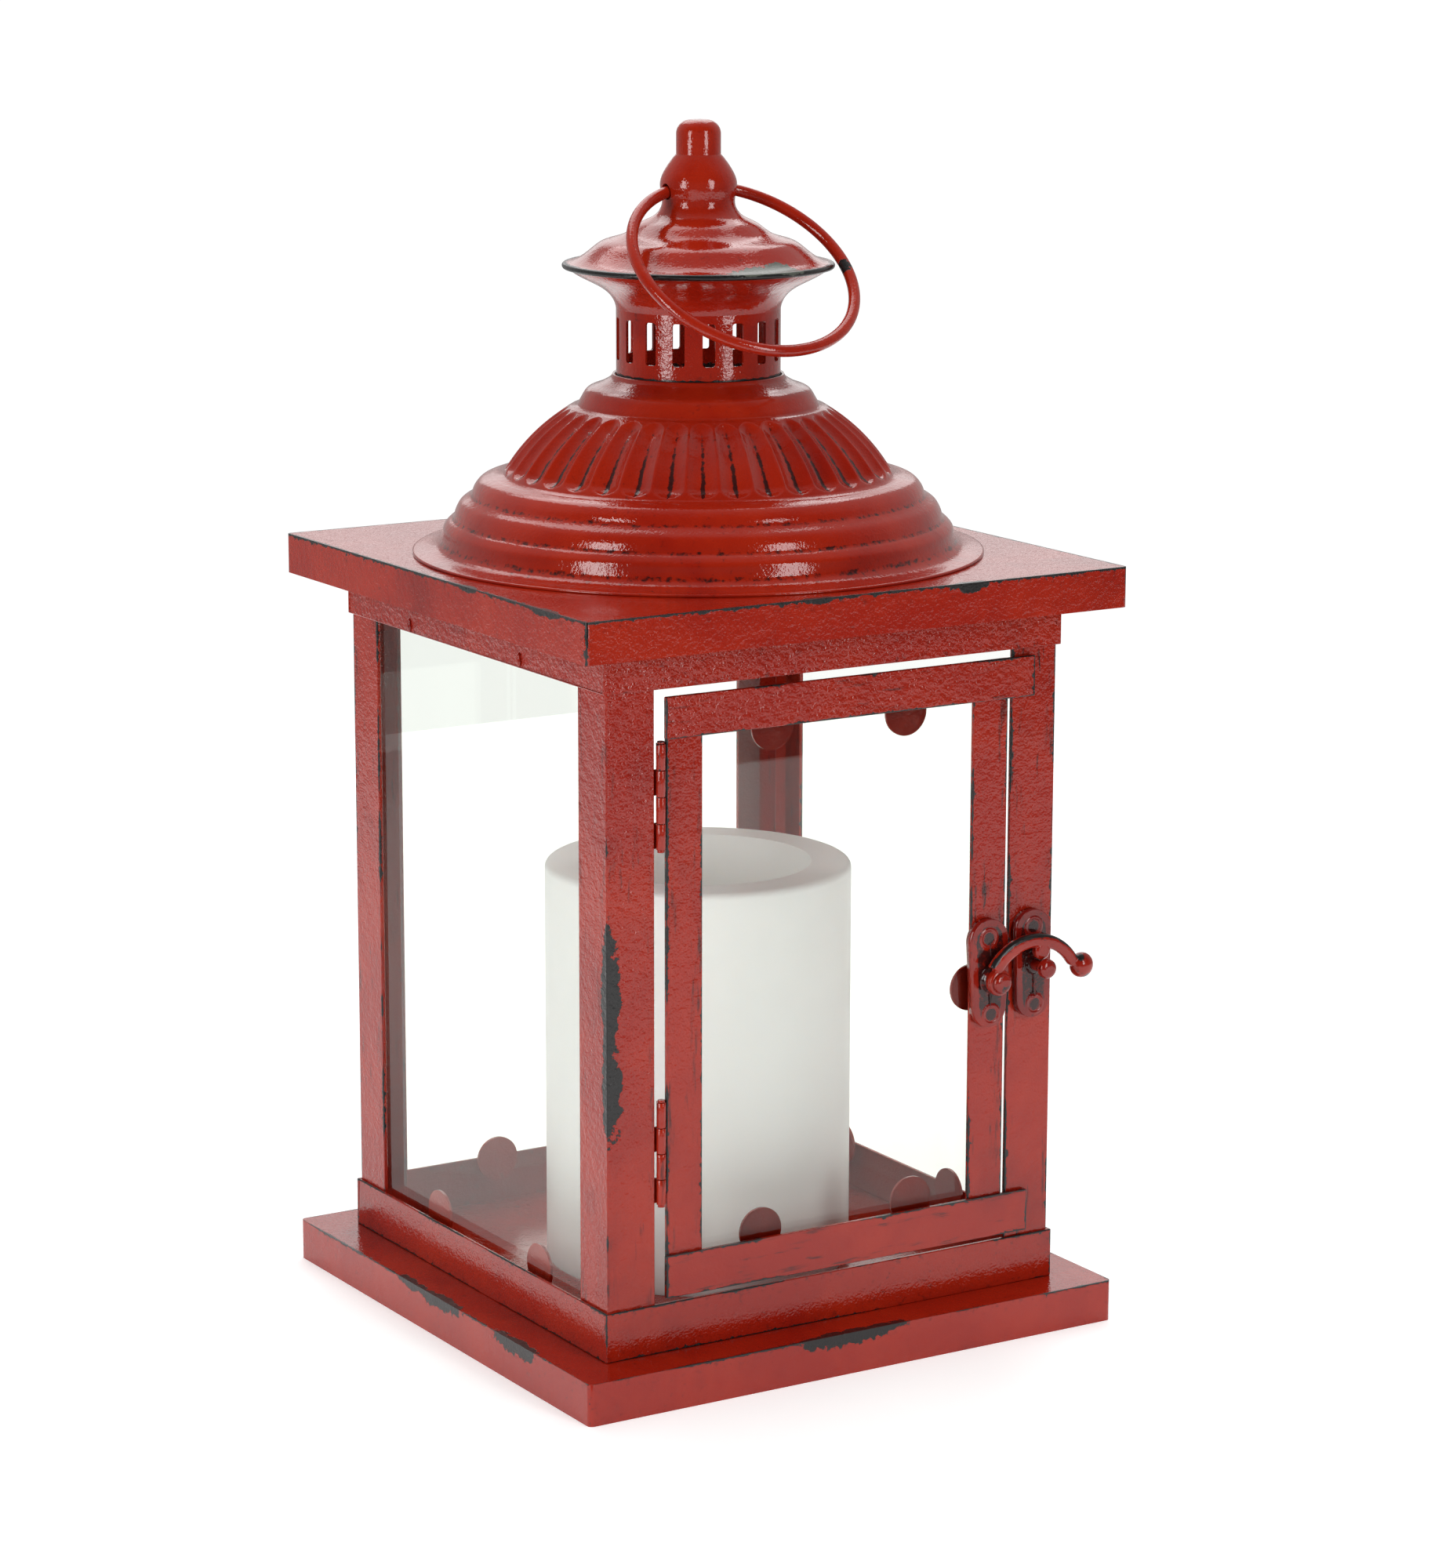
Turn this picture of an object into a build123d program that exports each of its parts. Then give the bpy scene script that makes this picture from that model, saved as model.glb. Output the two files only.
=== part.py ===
from build123d import *
import math
import os

# Barn lantern: a square enamelled sheet-metal lantern with a glazed door,
# a fluted chimney roof, a hanging ring and a flameless pillar candle inside.
# Millimetres. +Z is up, the door faces -Y, its hinges are on the -X side.
# The origin is the centre of the base, on the surface that it stands on.

# ---- driving dimensions ----
SHEET = 1.0                 # base, roof and bands
BASE_HALF = 84.0
BASE_CORNER_R = 1.5
BASE_TOP = 11.6
HEM = 5.0                   # inward fold under the base skirt
ROOF_HALF = 84.3
ROOF_CORNER_R = 1.0
ROOF_TOP = 213.2
ROOF_SKIRT_BOTTOM = 202.1
HEAT_HOLE_R = 48.0
BAND_FACE = 71.8            # outer face of the bands
LOWER_BAND_TOP = 25.2
UPPER_BAND_BOTTOM = 191.2

POST_FACE = 70.8            # outer faces of the angle posts
POST_SHEET = 1.2
POST_LEG = 14.5

GLASS = 2.0
PANE_HALF = 64.0
PANE_BOTTOM = 21.2
PANE_TOP = 195.2
TAB_R = 6.5
TAB_THICK = 0.8
TAB_STUB_R = 0.9
TAB_LOW_Z = 25.5
TAB_HIGH_Z = 196.5            # all but a sliver of each upper tab is behind the band
TAB_STUB_REACH = 5.9        # from a tab's centre to its stub
LEFT_TABS_LOW = (29.0, -28.0)
LEFT_TABS_HIGH = (24.0, -35.5)
EVEN_TABS = (28.0, -28.0)

DOOR_SHEET = 1.2
DOOR_FACE = 71.2            # outer face of the stiles, inner face of the rails
STILE_BOTTOM = 27.2
STILE_TOP = 188.8
HINGE_STILE_X = (-52.9, -41.9)
LATCH_STILE_X = (43.6, 54.9)
RAIL_X = (-53.6, 62.8)
LOW_RAIL_Z = (26.7, 38.4)
HIGH_RAIL_Z = (177.9, 189.1)
DOOR_GLASS_X = (-46.0, 48.0)
DOOR_GLASS_Z = (35.9, 180.4)
DOOR_TABS = (               # centre x, centre z, stub x, stub z
    (-21.5, 39.0, -21.5, 34.7),
    (27.0, 40.0, 27.0, 34.7),
    (-18.3, 177.2, -18.3, 181.6),
    (23.9, 176.6, 23.9, 181.6),
    (46.1, 97.5, 50.2, 97.5),
)

HINGE_X = -54.6
HINGE_Y = -71.2
HINGE_SPANS = ((148.6, 176.9), (52.6, 80.7))
KNUCKLES = 4
KNUCKLE_R = 1.25
KNUCKLE_GAP = 0.2
HINGE_PIN_R = 0.55
HINGE_BORE_R = 0.60
HINGE_PIN_HEAD_R = 0.95
HINGE_PIN_HEAD = 0.6
LEAF = 0.7
FRAME_LEAF_EDGE = HINGE_X - 2.2
DOOR_LEAF_EDGE = HINGE_X + 1.9
DOOR_LEAF_END = -46.6
FRAME_LEAF_END = -65.5

PLATE_THICK = 2.6
LATCH_LOBES = ((48.2, 111.4, 6.1), (49.4, 99.5, 5.0), (48.5, 92.3, 5.1))     # x, z, radius
KEEPER_LOBES = ((63.0, 112.6, 5.8), (63.4, 93.2, 5.3))
KEEPER_STEP = 0.8           # the keeper's raised face is this much smaller all round
LATCH_X = 49.0
LATCH_Z = 100.5
LATCH_MID_Y = -77.0
ARM_THICK = 3.0
ARM_WIDTH = 4.0
ARM_BOSS_R = 3.7
ARM_ARC_X = 60.4
ARM_ARC_Z = 95.4
ARM_ARC_R = 15.4
ARM_ARC_START = 33.0
ARM_ARC_END = 148.0
ARM_BALL = (76.7, 101.8)
ARM_BALL_R = 3.6
ARM_BALL_THICK = 5.8
HOOK_LOBE_R = 2.5
HOOK_GAP = 0.3              # between the lobe and the keeper's stud
PIVOT_R = 1.60
PIVOT_BORE_R = 1.66
PIVOT_HEAD_R = 2.6
PIVOT_HEAD_THICK = 1.3
PIVOT_HEAD_ROUND = 0.9
KEEPER_X = 63.0
KEEPER_Z = 103.1
KEEPER_PIN_R = 1.7
KEEPER_KNOB_R = 2.7
KEEPER_KNOB_THICK = 2.6
KEEPER_KNOB_ROUND = 1.1
RIVET_R = 1.2
RIVET_HEAD_R = 2.1
RIVET_HEAD = 1.0
RIVET_SINK = 0.5            # how far the rivet heads lie below the plate's face
RIVET_BORE_R = 0.7
ROOM = 0.05                 # radial room of a rivet or pivot in its hole
STUD_ROOM = 0.03
LATCH_RIVETS = ((47.9, 112.2), (48.9, 90.7))
KEEPER_RIVETS = ((63.0, 113.6), (63.7, 91.6))

SPUN = 0.8                  # chimney tube and cap sheet
# Meridians of the spun pieces, as (radius, height) points.
STEPS = [(78.6, 213.9), (73.6, 214.7), (71.2, 216.2), (70.4, 218.2), (70.0, 220.3), (68.6, 221.9),
         (67.4, 222.8), (66.6, 225.0), (65.4, 227.0), (63.4, 228.4), (62.3, 229.4), (61.4, 231.4),
         (59.6, 233.3), (56.6, 234.3)]
DOME_FOOT = (53.6, 234.6)
DOME_HAUNCH = (45.7, 244.9)
DOME_HEAD = (35.0, 253.2)
SHOULDER = [(33.2, 253.5), (32.3, 255.2), (30.4, 258.0), (27.0, 259.4), (24.2, 261.0), (23.4, 262.2)]
DOME_WALL = 2.0             # thick enough to carry the pressed flutes
FLUTES = 36
FLUTE_R = 2.7
FLUTE_OUT = 0.9             # how far outside the dome the flute cutter's centre line runs
FLUTE_ENDS = (0.08, 0.92)   # where the flutes start and end along the dome
COLLAR_ROOM = 0.05
VENT_R = 22.5
VENT_BOTTOM = 260.2
VENT_FLARE = [(VENT_R, 280.0), (24.2, 283.7), (28.9, 287.0), (35.4, 290.7)]
VENT_SLOTS = 17
SLOT_WIDTH = 3.4
SLOT_CORNER_R = 0.8
SLOT_Z = (266.2, 277.75)
SLOT_FIRST = 182.5          # degrees, plan angle of the first slot
KNOB_R = 6.1
KNOB_Z = (321.6, 330.8)
KNOB_CROWN_R = 3.8
KNOB_SPIGOT_R = 4.9
KNOB_SPIGOT = 3.0
CAP_MOUTH_R = 5.0
CAP_RIM_R = 36.4
CAP_RIM_Z = 291.6
CAP_ROLL_R = 0.8
CAP_ROOF = [(CAP_RIM_R, 292.3), (33.0, 293.3), (29.0, 296.2), (26.6, 297.9), (23.2, 299.0), (19.6, 300.4),
            (15.8, 303.1), (11.8, 305.2), (10.0, 308.0), (10.5, 313.4), (8.6, 318.3), (KNOB_R, 321.6)]

RING_R = 31.6
RING_WIRE_R = 1.6
RING_PIVOT_Z = 311.8
RING_CHORD = 9.6            # half the ring's chord on the pivot line
RING_TILT = 39.0            # degrees below level where it leans on the cap rim
RING_HOLE_R = 2.2

CANDLE_R = 42.9
CANDLE_TOP = 125.5
CANDLE_LIP_R = 1.8
RECESS_R = 31.7
RECESS_FLOOR = 96.0
CAVITY_R = 30.4
CAVITY_TOP = 90.0
LAMP_BORE_R = 7.0
CUP_FIT = 0.3
CUP_FLOOR = 1.2
CUP_COLLAR_R = 8.5
CUP_COLLAR = 4.0
CUP_NECK_R = 6.8
CUP_BORE_R = 5.0
FLAME = [(4.9, 100.4), (5.6, 103.5), (3.4, 109.0), (0.0, 114.0)]
HOUSING_R = 30.0
HOUSING_TOP = 82.0
HOUSING_LIFT = 0.4          # the housing's foot is this far above the candle's foot
WELL_ROOM = 0.3
WELL_TOP = 69.0
WELL_HOLE_R = 4.0
BOARD_BAY_R = 26.0
BOARD_BAY_FLOOR = 74.0
COVER_R = 23.3
COVER_HOLE_R = 23.5
COVER_THICK = 2.0
BATTERY_R = 7.25
BATTERY_LENGTH = 50.5
BATTERY_TIP_R = 2.6
BATTERY_TIP = 1.2
BATTERY_CIRCLE = 13.5
BATTERY_FOOT = 4.2          # the cells' feet above the candle's foot
SPRING_R = (2.4, 3.4)
CONTACT_R = 3.6
CONTACT_THICK = 1.0
BOARD_R = 25.5
BOARD_Z = (76.0, 77.6)
BOARD_POST_R = 3.0
SWITCH_TRAVEL = 4.0
SWITCH_SLOT_Y = (-28.2, -24.8)
SWITCH_Y = (-28.0, -25.0)
SWITCH_Z = (0.8, 3.6)       # above the candle's foot
SWITCH_LENGTH = 1.8
SWITCH_ROOM = 0.2

os.makedirs("parts", exist_ok=True)


# ---- helpers ----
def block(x, y, z):
    """A box between two limits on each axis."""
    size = (x[1] - x[0], y[1] - y[0], z[1] - z[0])
    middle = ((x[0] + x[1]) / 2, (y[0] + y[1]) / 2, (z[0] + z[1]) / 2)
    return Pos(*middle) * Box(*size)


def rod_y(x, z, radius, y_back, y_front):
    """A round bar along Y from y_back out to y_front."""
    length = y_back - y_front
    middle = Pos(x, (y_back + y_front) / 2, z)
    return middle * Rot(90, 0, 0) * Cylinder(radius, length)


def rod_z(x, y, radius, z):
    """A round upright bar between two heights."""
    return Pos(x, y, (z[0] + z[1]) / 2) * Cylinder(radius, z[1] - z[0])


def front_plate(sketch, y_back, thick):
    """A sketch in X and Z, raised from y_back towards the front."""
    return extrude(Plane.XZ.offset(-y_back) * sketch, amount=thick)


def disc_at(x, z, radius):
    return Pos(x, z) * Circle(radius)


def spun(*lines):
    """A closed outline of edges in the XZ plane, turned about Z."""
    return revolve(make_face(Wire(list(lines))), Axis.Z, 360)


def path(points):
    """Straight edges through (r, z) points."""
    corners = [(r, 0, z) for r, z in points]
    return [Line(a, b) for a, b in zip(corners, corners[1:])]


def curve(points):
    """One smooth edge through (r, z) points."""
    return Spline([(r, 0, z) for r, z in points])


def shifted(points, dr, dz):
    return [(r + dr, z + dz) for r, z in points]


def save(shape, name):
    export_step(shape, f"parts/{name}.step")


def save_group(shapes, name):
    save(Compound(children=list(shapes)), name)


# ---- base, roof, bands and posts ----
def base_tray():
    """Folded sheet, open below, with its skirt hemmed inwards."""
    outer = block((-BASE_HALF, BASE_HALF), (-BASE_HALF, BASE_HALF), (0, BASE_TOP))
    outer = fillet(outer.edges().filter_by(Axis.Z), BASE_CORNER_R)
    wall = BASE_HALF - SHEET
    mouth = BASE_HALF - HEM
    hollow = block((-wall, wall), (-wall, wall), (SHEET, BASE_TOP - SHEET))
    opening = block((-mouth, mouth), (-mouth, mouth), (-1, SHEET + 1))
    return outer - hollow - opening


def roof_plate():
    """Folded sheet with a skirt and a round hole for the heat."""
    outer = block((-ROOF_HALF, ROOF_HALF), (-ROOF_HALF, ROOF_HALF), (ROOF_SKIRT_BOTTOM, ROOF_TOP))
    outer = fillet(outer.edges().filter_by(Axis.Z), ROOF_CORNER_R)
    wall = ROOF_HALF - SHEET
    hollow = block((-wall, wall), (-wall, wall), (ROOF_SKIRT_BOTTOM - 1, ROOF_TOP - SHEET))
    hole = rod_z(0, 0, HEAT_HOLE_R, (ROOF_TOP - 5, ROOF_TOP + 5))
    return outer - hollow - hole


def band(z):
    """Four strips that clasp the posts, meeting at the corners."""
    inner = BAND_FACE - SHEET
    strips = []
    for side in (-1, 1):
        face = sorted((side * inner, side * BAND_FACE))
        strips.append(block((-BAND_FACE, BAND_FACE), face, z))
        strips.append(block(face, (-inner, inner), z))
    return strips


def post(sx, sy):
    """An angle post with its corner at (sx, sy) and its legs along the faces."""
    tip = POST_FACE - POST_LEG
    inner = POST_FACE - POST_SHEET
    z = (BASE_TOP, ROOF_TOP - SHEET)
    x_leg = block(sorted((sx * tip, sx * POST_FACE)), sorted((sy * inner, sy * POST_FACE)), z)
    y_leg = block(sorted((sx * inner, sx * POST_FACE)), sorted((sy * tip, sy * POST_FACE)), z)
    return x_leg + y_leg


# ---- fixed panes and the round tabs that hold them ----
def fixed_pane():
    """The pane of the -X side. The other sides are this one turned about Z."""
    face = POST_FACE - POST_SHEET
    return block((-face, GLASS - face), (-PANE_HALF, PANE_HALF), (PANE_BOTTOM, PANE_TOP))


def pane_tabs(low, high):
    """Tabs of the -X side: a disc on the glass and a stub to the band."""
    glass_back = POST_FACE - POST_SHEET - GLASS
    band_back = BAND_FACE - SHEET
    tabs = []
    for y, z, way in [(y, TAB_LOW_Z, -1) for y in low] + [(y, TAB_HIGH_Z, 1) for y in high]:
        disc = Pos(TAB_THICK / 2 - glass_back, y, z) * Rot(0, 90, 0) * Cylinder(TAB_R, TAB_THICK)
        reach = band_back - glass_back
        middle = -(band_back + glass_back) / 2
        stub_z = z + way * TAB_STUB_REACH
        stub = Pos(middle, y, stub_z) * Rot(0, 90, 0) * Cylinder(TAB_STUB_R, reach)
        tabs.append(disc + stub)
    return tabs


# ---- door ----
def stile(x):
    return block(x, (-DOOR_FACE, DOOR_SHEET - DOOR_FACE), (STILE_BOTTOM, STILE_TOP))


def latch_stile():
    """The stile behind the latch, drilled for its rivets and pivot."""
    plate = stile(LATCH_STILE_X)
    for x, z in LATCH_RIVETS:
        plate -= rod_y(x, z, RIVET_R + ROOM, -DOOR_FACE + 3, -DOOR_FACE - 1)
    return plate - rod_y(LATCH_X, LATCH_Z, PIVOT_R + ROOM, -DOOR_FACE + 3, -DOOR_FACE - 1)


def rail(z):
    return block(RAIL_X, (-DOOR_FACE - DOOR_SHEET, -DOOR_FACE), z)


def door_glass():
    back = DOOR_SHEET - DOOR_FACE
    return block(DOOR_GLASS_X, (back, back + GLASS), DOOR_GLASS_Z)


def door_tabs():
    """Discs behind the door glass. Each stub reaches the rail or stile it is welded to."""
    glass_back = DOOR_SHEET + GLASS - DOOR_FACE
    tabs = []
    for x, z, stub_x, stub_z in DOOR_TABS:
        on_stile = stub_x > LATCH_STILE_X[0]
        root = DOOR_SHEET - DOOR_FACE if on_stile else -DOOR_FACE
        disc = rod_y(x, z, TAB_R, glass_back + TAB_THICK, glass_back)
        tabs.append(disc + rod_y(stub_x, stub_z, TAB_STUB_R, glass_back, root))
    return tabs


# ---- hinges ----
def hinge_leaf(span, first, plate_x, plate_y, edge):
    """One leaf: a plate, and every second knuckle joined to it by a web."""
    pitch = (span[1] - span[0]) / KNUCKLES
    leaf = block(sorted((edge, plate_x)), plate_y, span)
    web_half = LEAF / 2
    for index in range(first, KNUCKLES, 2):
        z = (span[0] + index * pitch + KNUCKLE_GAP / 2, span[0] + (index + 1) * pitch - KNUCKLE_GAP / 2)
        far = HINGE_X + math.copysign(web_half, HINGE_X - plate_x)
        leaf += block(sorted((far, edge)), plate_y, z)
        leaf += block((HINGE_X - web_half, HINGE_X + web_half), (HINGE_Y, plate_y[1]), z)
        leaf += rod_z(HINGE_X, HINGE_Y, KNUCKLE_R, z)
    return leaf - rod_z(HINGE_X, HINGE_Y, HINGE_BORE_R, (span[0] - 1, span[1] + 1))


def frame_leaf(span):
    back = POST_SHEET - POST_FACE
    return hinge_leaf(span, 0, FRAME_LEAF_END, (back, back + LEAF), FRAME_LEAF_EDGE)


def door_leaf(span):
    back = DOOR_SHEET - DOOR_FACE
    return hinge_leaf(span, 1, DOOR_LEAF_END, (back, back + LEAF), DOOR_LEAF_EDGE)


def hinge_pin(span):
    """A pin with a peened head at each end."""
    pin = rod_z(HINGE_X, HINGE_Y, HINGE_PIN_R, span)
    for z in ((span[0] - HINGE_PIN_HEAD, span[0]), (span[1], span[1] + HINGE_PIN_HEAD)):
        pin += rod_z(HINGE_X, HINGE_Y, HINGE_PIN_HEAD_R, z)
    return pin


# ---- latch ----
def rivet(x, z, y_back, y_head):
    """A hollow rivet whose countersunk head ends at y_head."""
    body = rod_y(x, z, RIVET_R, y_back, y_head)
    cone = Pos(x, y_head + RIVET_HEAD / 2, z) * Rot(90, 0, 0) * Cone(RIVET_R, RIVET_HEAD_R, RIVET_HEAD)
    return body + cone - rod_y(x, z, RIVET_BORE_R, y_back + 1, y_head - 1)


def countersink(x, z, y_front):
    """The hole and the seat that a rivet fills, with a little room."""
    seat = Pos(x, y_front + RIVET_SINK + RIVET_HEAD / 2, z) * Rot(90, 0, 0)
    hole = rod_y(x, z, RIVET_R + ROOM, y_front + 9, y_front)
    mouth = rod_y(x, z, RIVET_HEAD_R + ROOM, y_front + RIVET_SINK, y_front - 1)
    return hole + mouth + seat * Cone(RIVET_R + ROOM, RIVET_HEAD_R + ROOM, RIVET_HEAD)


def lobed(lobes, shrink):
    """The outline round a row of discs, each given as x, z and radius."""
    discs = Sketch() + [disc_at(x, z, radius - shrink) for x, z, radius in lobes]
    return make_hull(discs.edges())


def latch_plate():
    """Cast plate on the door stile, with a raised boss under the pivot."""
    plate = front_plate(lobed(LATCH_LOBES, 0), -DOOR_FACE, PLATE_THICK)
    arm_back = LATCH_MID_Y + ARM_THICK / 2
    front = -DOOR_FACE - PLATE_THICK
    plate += rod_y(LATCH_X, LATCH_Z, ARM_BOSS_R, front, arm_back + 0.1)
    for x, z in LATCH_RIVETS:
        plate -= countersink(x, z, front)
    return plate - rod_y(LATCH_X, LATCH_Z, PIVOT_R + ROOM, -DOOR_FACE + 1, arm_back - 1)


def pivot_rivet():
    """Shouldered rivet that the latch arm turns on."""
    arm_front = LATCH_MID_Y - ARM_THICK / 2
    shank = rod_y(LATCH_X, LATCH_Z, PIVOT_R, DOOR_SHEET - DOOR_FACE, arm_front - 0.2)
    head_back = arm_front - 0.1
    head = rod_y(LATCH_X, LATCH_Z, PIVOT_HEAD_R, head_back, head_back - PIVOT_HEAD_THICK)
    rim = head.edges().group_by(Axis.Y)[0]
    return shank + fillet(rim, PIVOT_HEAD_ROUND)


def latch_arm():
    """Arched hook with a boss at its pivot, a ball at its tip and a lobe over the keeper."""
    back = LATCH_MID_Y + ARM_THICK / 2
    arc = CenterArc((ARM_ARC_X, ARM_ARC_Z), ARM_ARC_R, ARM_ARC_START, ARM_ARC_END - ARM_ARC_START)
    outline = SlotArc(arc, ARM_WIDTH) + disc_at(LATCH_X, LATCH_Z, ARM_BOSS_R)
    tail = disc_at((arc @ 0).X, (arc @ 0).Y, ARM_WIDTH / 2) + disc_at(*ARM_BALL, ARM_WIDTH / 2 - 0.4)
    outline += make_hull(tail.edges())
    lobe_z = KEEPER_Z + KEEPER_PIN_R + HOOK_GAP + HOOK_LOBE_R
    outline += disc_at(KEEPER_X, lobe_z, HOOK_LOBE_R)
    arm = front_plate(outline, back, ARM_THICK)
    ball = Pos(ARM_BALL[0], LATCH_MID_Y, ARM_BALL[1]) * Sphere(ARM_BALL_R)
    slab_y = (LATCH_MID_Y - ARM_BALL_THICK / 2, LATCH_MID_Y + ARM_BALL_THICK / 2)
    arm += ball & block((70, 85), slab_y, (95, 110))
    return arm - rod_y(LATCH_X, LATCH_Z, PIVOT_BORE_R, back + 1, back - ARM_THICK - 1)


def keeper_plate():
    """Cast plate on the post: a flange and a raised face."""
    flange = PLATE_THICK / 2
    plate = front_plate(lobed(KEEPER_LOBES, 0), -POST_FACE, flange)
    plate += front_plate(lobed(KEEPER_LOBES, KEEPER_STEP), -POST_FACE - flange, PLATE_THICK - flange)
    for x, z in KEEPER_RIVETS:
        plate -= countersink(x, z, -POST_FACE - PLATE_THICK)
    return plate - rod_y(KEEPER_X, KEEPER_Z, KEEPER_PIN_R + STUD_ROOM, -POST_FACE + 1, -POST_FACE - 9)


def keeper_pin():
    """Stud that the hook drops over, with a knob that holds the hook in."""
    knob_back = LATCH_MID_Y - ARM_THICK / 2 - 0.4
    neck = rod_y(KEEPER_X, KEEPER_Z, KEEPER_PIN_R, POST_SHEET - POST_FACE, knob_back - 0.5)
    knob = rod_y(KEEPER_X, KEEPER_Z, KEEPER_KNOB_R, knob_back, knob_back - KEEPER_KNOB_THICK)
    return neck + fillet(knob.edges(), KEEPER_KNOB_ROUND)


def drilled_post(corner):
    """The front right post, drilled for the keeper's stud and rivets."""
    for x, z in KEEPER_RIVETS:
        corner -= rod_y(x, z, RIVET_R + ROOM, -POST_FACE + 3, -POST_FACE - 1)
    return corner - rod_y(KEEPER_X, KEEPER_Z, KEEPER_PIN_R + STUD_ROOM, -POST_FACE + 3, -POST_FACE - 1)


# ---- chimney ----
def dome_arc(shrink):
    """The fluted part's meridian, moved inwards by shrink."""
    points = shifted((DOME_FOOT, DOME_HAUNCH, DOME_HEAD), -shrink, -shrink)
    return ThreePointArc(*[(r, 0, z) for r, z in points])


def roof_dome():
    """Spun cover: a flange, three soft steps, a fluted dome and a collar."""
    collar_r = VENT_R + COLLAR_ROOM
    inner_steps = shifted(STEPS, -SPUN, -SPUN)[1:]
    inner_collar = shifted(SHOULDER, -SPUN, -SPUN)[:-2]
    top = SHOULDER[-1]
    inner_start = (inner_steps[0][0], ROOF_TOP)
    outer = path([(STEPS[0][0], ROOF_TOP), STEPS[0]]) + [curve(STEPS)]
    outer += path([STEPS[-1], DOME_FOOT]) + [dome_arc(0)]
    outer += path([DOME_HEAD, SHOULDER[0]]) + [curve(SHOULDER)]
    dome_low, dome_high = shifted((DOME_FOOT, DOME_HEAD), -DOME_WALL, -DOME_WALL)
    inner = path([top, (collar_r, top[1]), (collar_r, inner_collar[-1][1]), inner_collar[-1]])
    inner += [curve(inner_collar[::-1])] + path([inner_collar[0], dome_high]) + [dome_arc(DOME_WALL)]
    inner += path([dome_low, inner_steps[-1]]) + [curve(inner_steps[::-1])]
    inner += path([inner_steps[0], inner_start, (STEPS[0][0], ROOF_TOP)])
    shell = spun(*outer, *inner)
    return shell - flute_cutters()


def flute_cutters():
    """Round bars bent along the dome, one for each flute."""
    points = shifted((DOME_FOOT, DOME_HAUNCH, DOME_HEAD), FLUTE_OUT, FLUTE_OUT)
    line = ThreePointArc(*[(r, 0, z) for r, z in points])
    part = line.trim(*FLUTE_ENDS)
    section = Plane(part @ 0, z_dir=part % 0) * Circle(FLUTE_R)
    bar = sweep(section, path=part)
    return [Rot(0, 0, index * 360 / FLUTES) * bar for index in range(FLUTES)]


def vent_tube():
    """Chimney tube with a flared top and a ring of upright slots."""
    inner = shifted(VENT_FLARE, -SPUN, 0)
    foot = (VENT_R, VENT_BOTTOM)
    lines = path([foot, VENT_FLARE[0]]) + [curve(VENT_FLARE)] + path([VENT_FLARE[-1], inner[-1]])
    lines += [curve(inner[::-1])] + path([inner[0], (VENT_R - SPUN, VENT_BOTTOM), foot])
    tube = spun(*lines)
    outline = RectangleRounded(SLOT_WIDTH, SLOT_Z[1] - SLOT_Z[0], SLOT_CORNER_R)
    slot = Pos(0, 0, (SLOT_Z[0] + SLOT_Z[1]) / 2) * extrude(Plane.YZ * outline, amount=VENT_R + 5)
    pitch = 360 / VENT_SLOTS
    return tube - [Rot(0, 0, SLOT_FIRST + index * pitch) * slot for index in range(VENT_SLOTS)]


def cap():
    """Spun rain cap: a rolled rim, two soft steps, a neck and a hollow bulb."""
    inner = shifted(CAP_ROOF, -SPUN, -SPUN)[:-1]
    mouth = (CAP_MOUTH_R, KNOB_Z[0])
    lines = [curve(CAP_ROOF)] + path([CAP_ROOF[-1], mouth, inner[-1]]) + [curve(inner[::-1])]
    lines += path([inner[0], CAP_ROOF[0]])
    shell = spun(*lines)
    shell += Pos(0, 0, CAP_RIM_Z) * Torus(CAP_RIM_R, CAP_ROLL_R)
    hole = Rot(0, 90, 0) * Cylinder(RING_HOLE_R, 60)
    return shell - Pos(0, 0, RING_PIVOT_Z) * hole


def finial_knob():
    """Turned knob with a spigot that plugs the cap's bulb."""
    knob = rod_z(0, 0, KNOB_R, KNOB_Z)
    knob = fillet(knob.edges().group_by(Axis.Z)[-1], KNOB_CROWN_R)
    return knob + rod_z(0, 0, KNOB_SPIGOT_R, (KNOB_Z[0] - KNOB_SPIGOT, KNOB_Z[0]))


def ring_handle():
    """Closed wire ring, leaning forward on the cap rim."""
    out = math.sqrt(RING_R ** 2 - RING_CHORD ** 2)
    ring = Pos(0, -out, 0) * Torus(RING_R, RING_WIRE_R)
    return Pos(0, 0, RING_PIVOT_Z) * Rot(RING_TILT, 0, 0) * ring


# ---- candle ----
def candle_shell():
    """Wax pillar with a wide recess on top and a cavity below."""
    body = rod_z(0, 0, CANDLE_R, (BASE_TOP, CANDLE_TOP))
    body = fillet(body.edges().group_by(Axis.Z)[-1], CANDLE_LIP_R)
    body -= rod_z(0, 0, RECESS_R, (RECESS_FLOOR, CANDLE_TOP + 1))
    body -= rod_z(0, 0, CAVITY_R, (BASE_TOP - 1, CAVITY_TOP))
    return body - rod_z(0, 0, LAMP_BORE_R, (CAVITY_TOP - 1, RECESS_FLOOR + 1))


def light_cup():
    """Moulded floor of the recess, with a collar for the lamp."""
    cup = rod_z(0, 0, RECESS_R - CUP_FIT, (RECESS_FLOOR, RECESS_FLOOR + CUP_FLOOR))
    cup += rod_z(0, 0, CUP_COLLAR_R, (RECESS_FLOOR, RECESS_FLOOR + CUP_COLLAR))
    cup += rod_z(0, 0, CUP_NECK_R, (CAVITY_TOP, RECESS_FLOOR))
    return cup - rod_z(0, 0, CUP_BORE_R, (CAVITY_TOP - 1, RECESS_FLOOR + CUP_COLLAR + 1))


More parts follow.
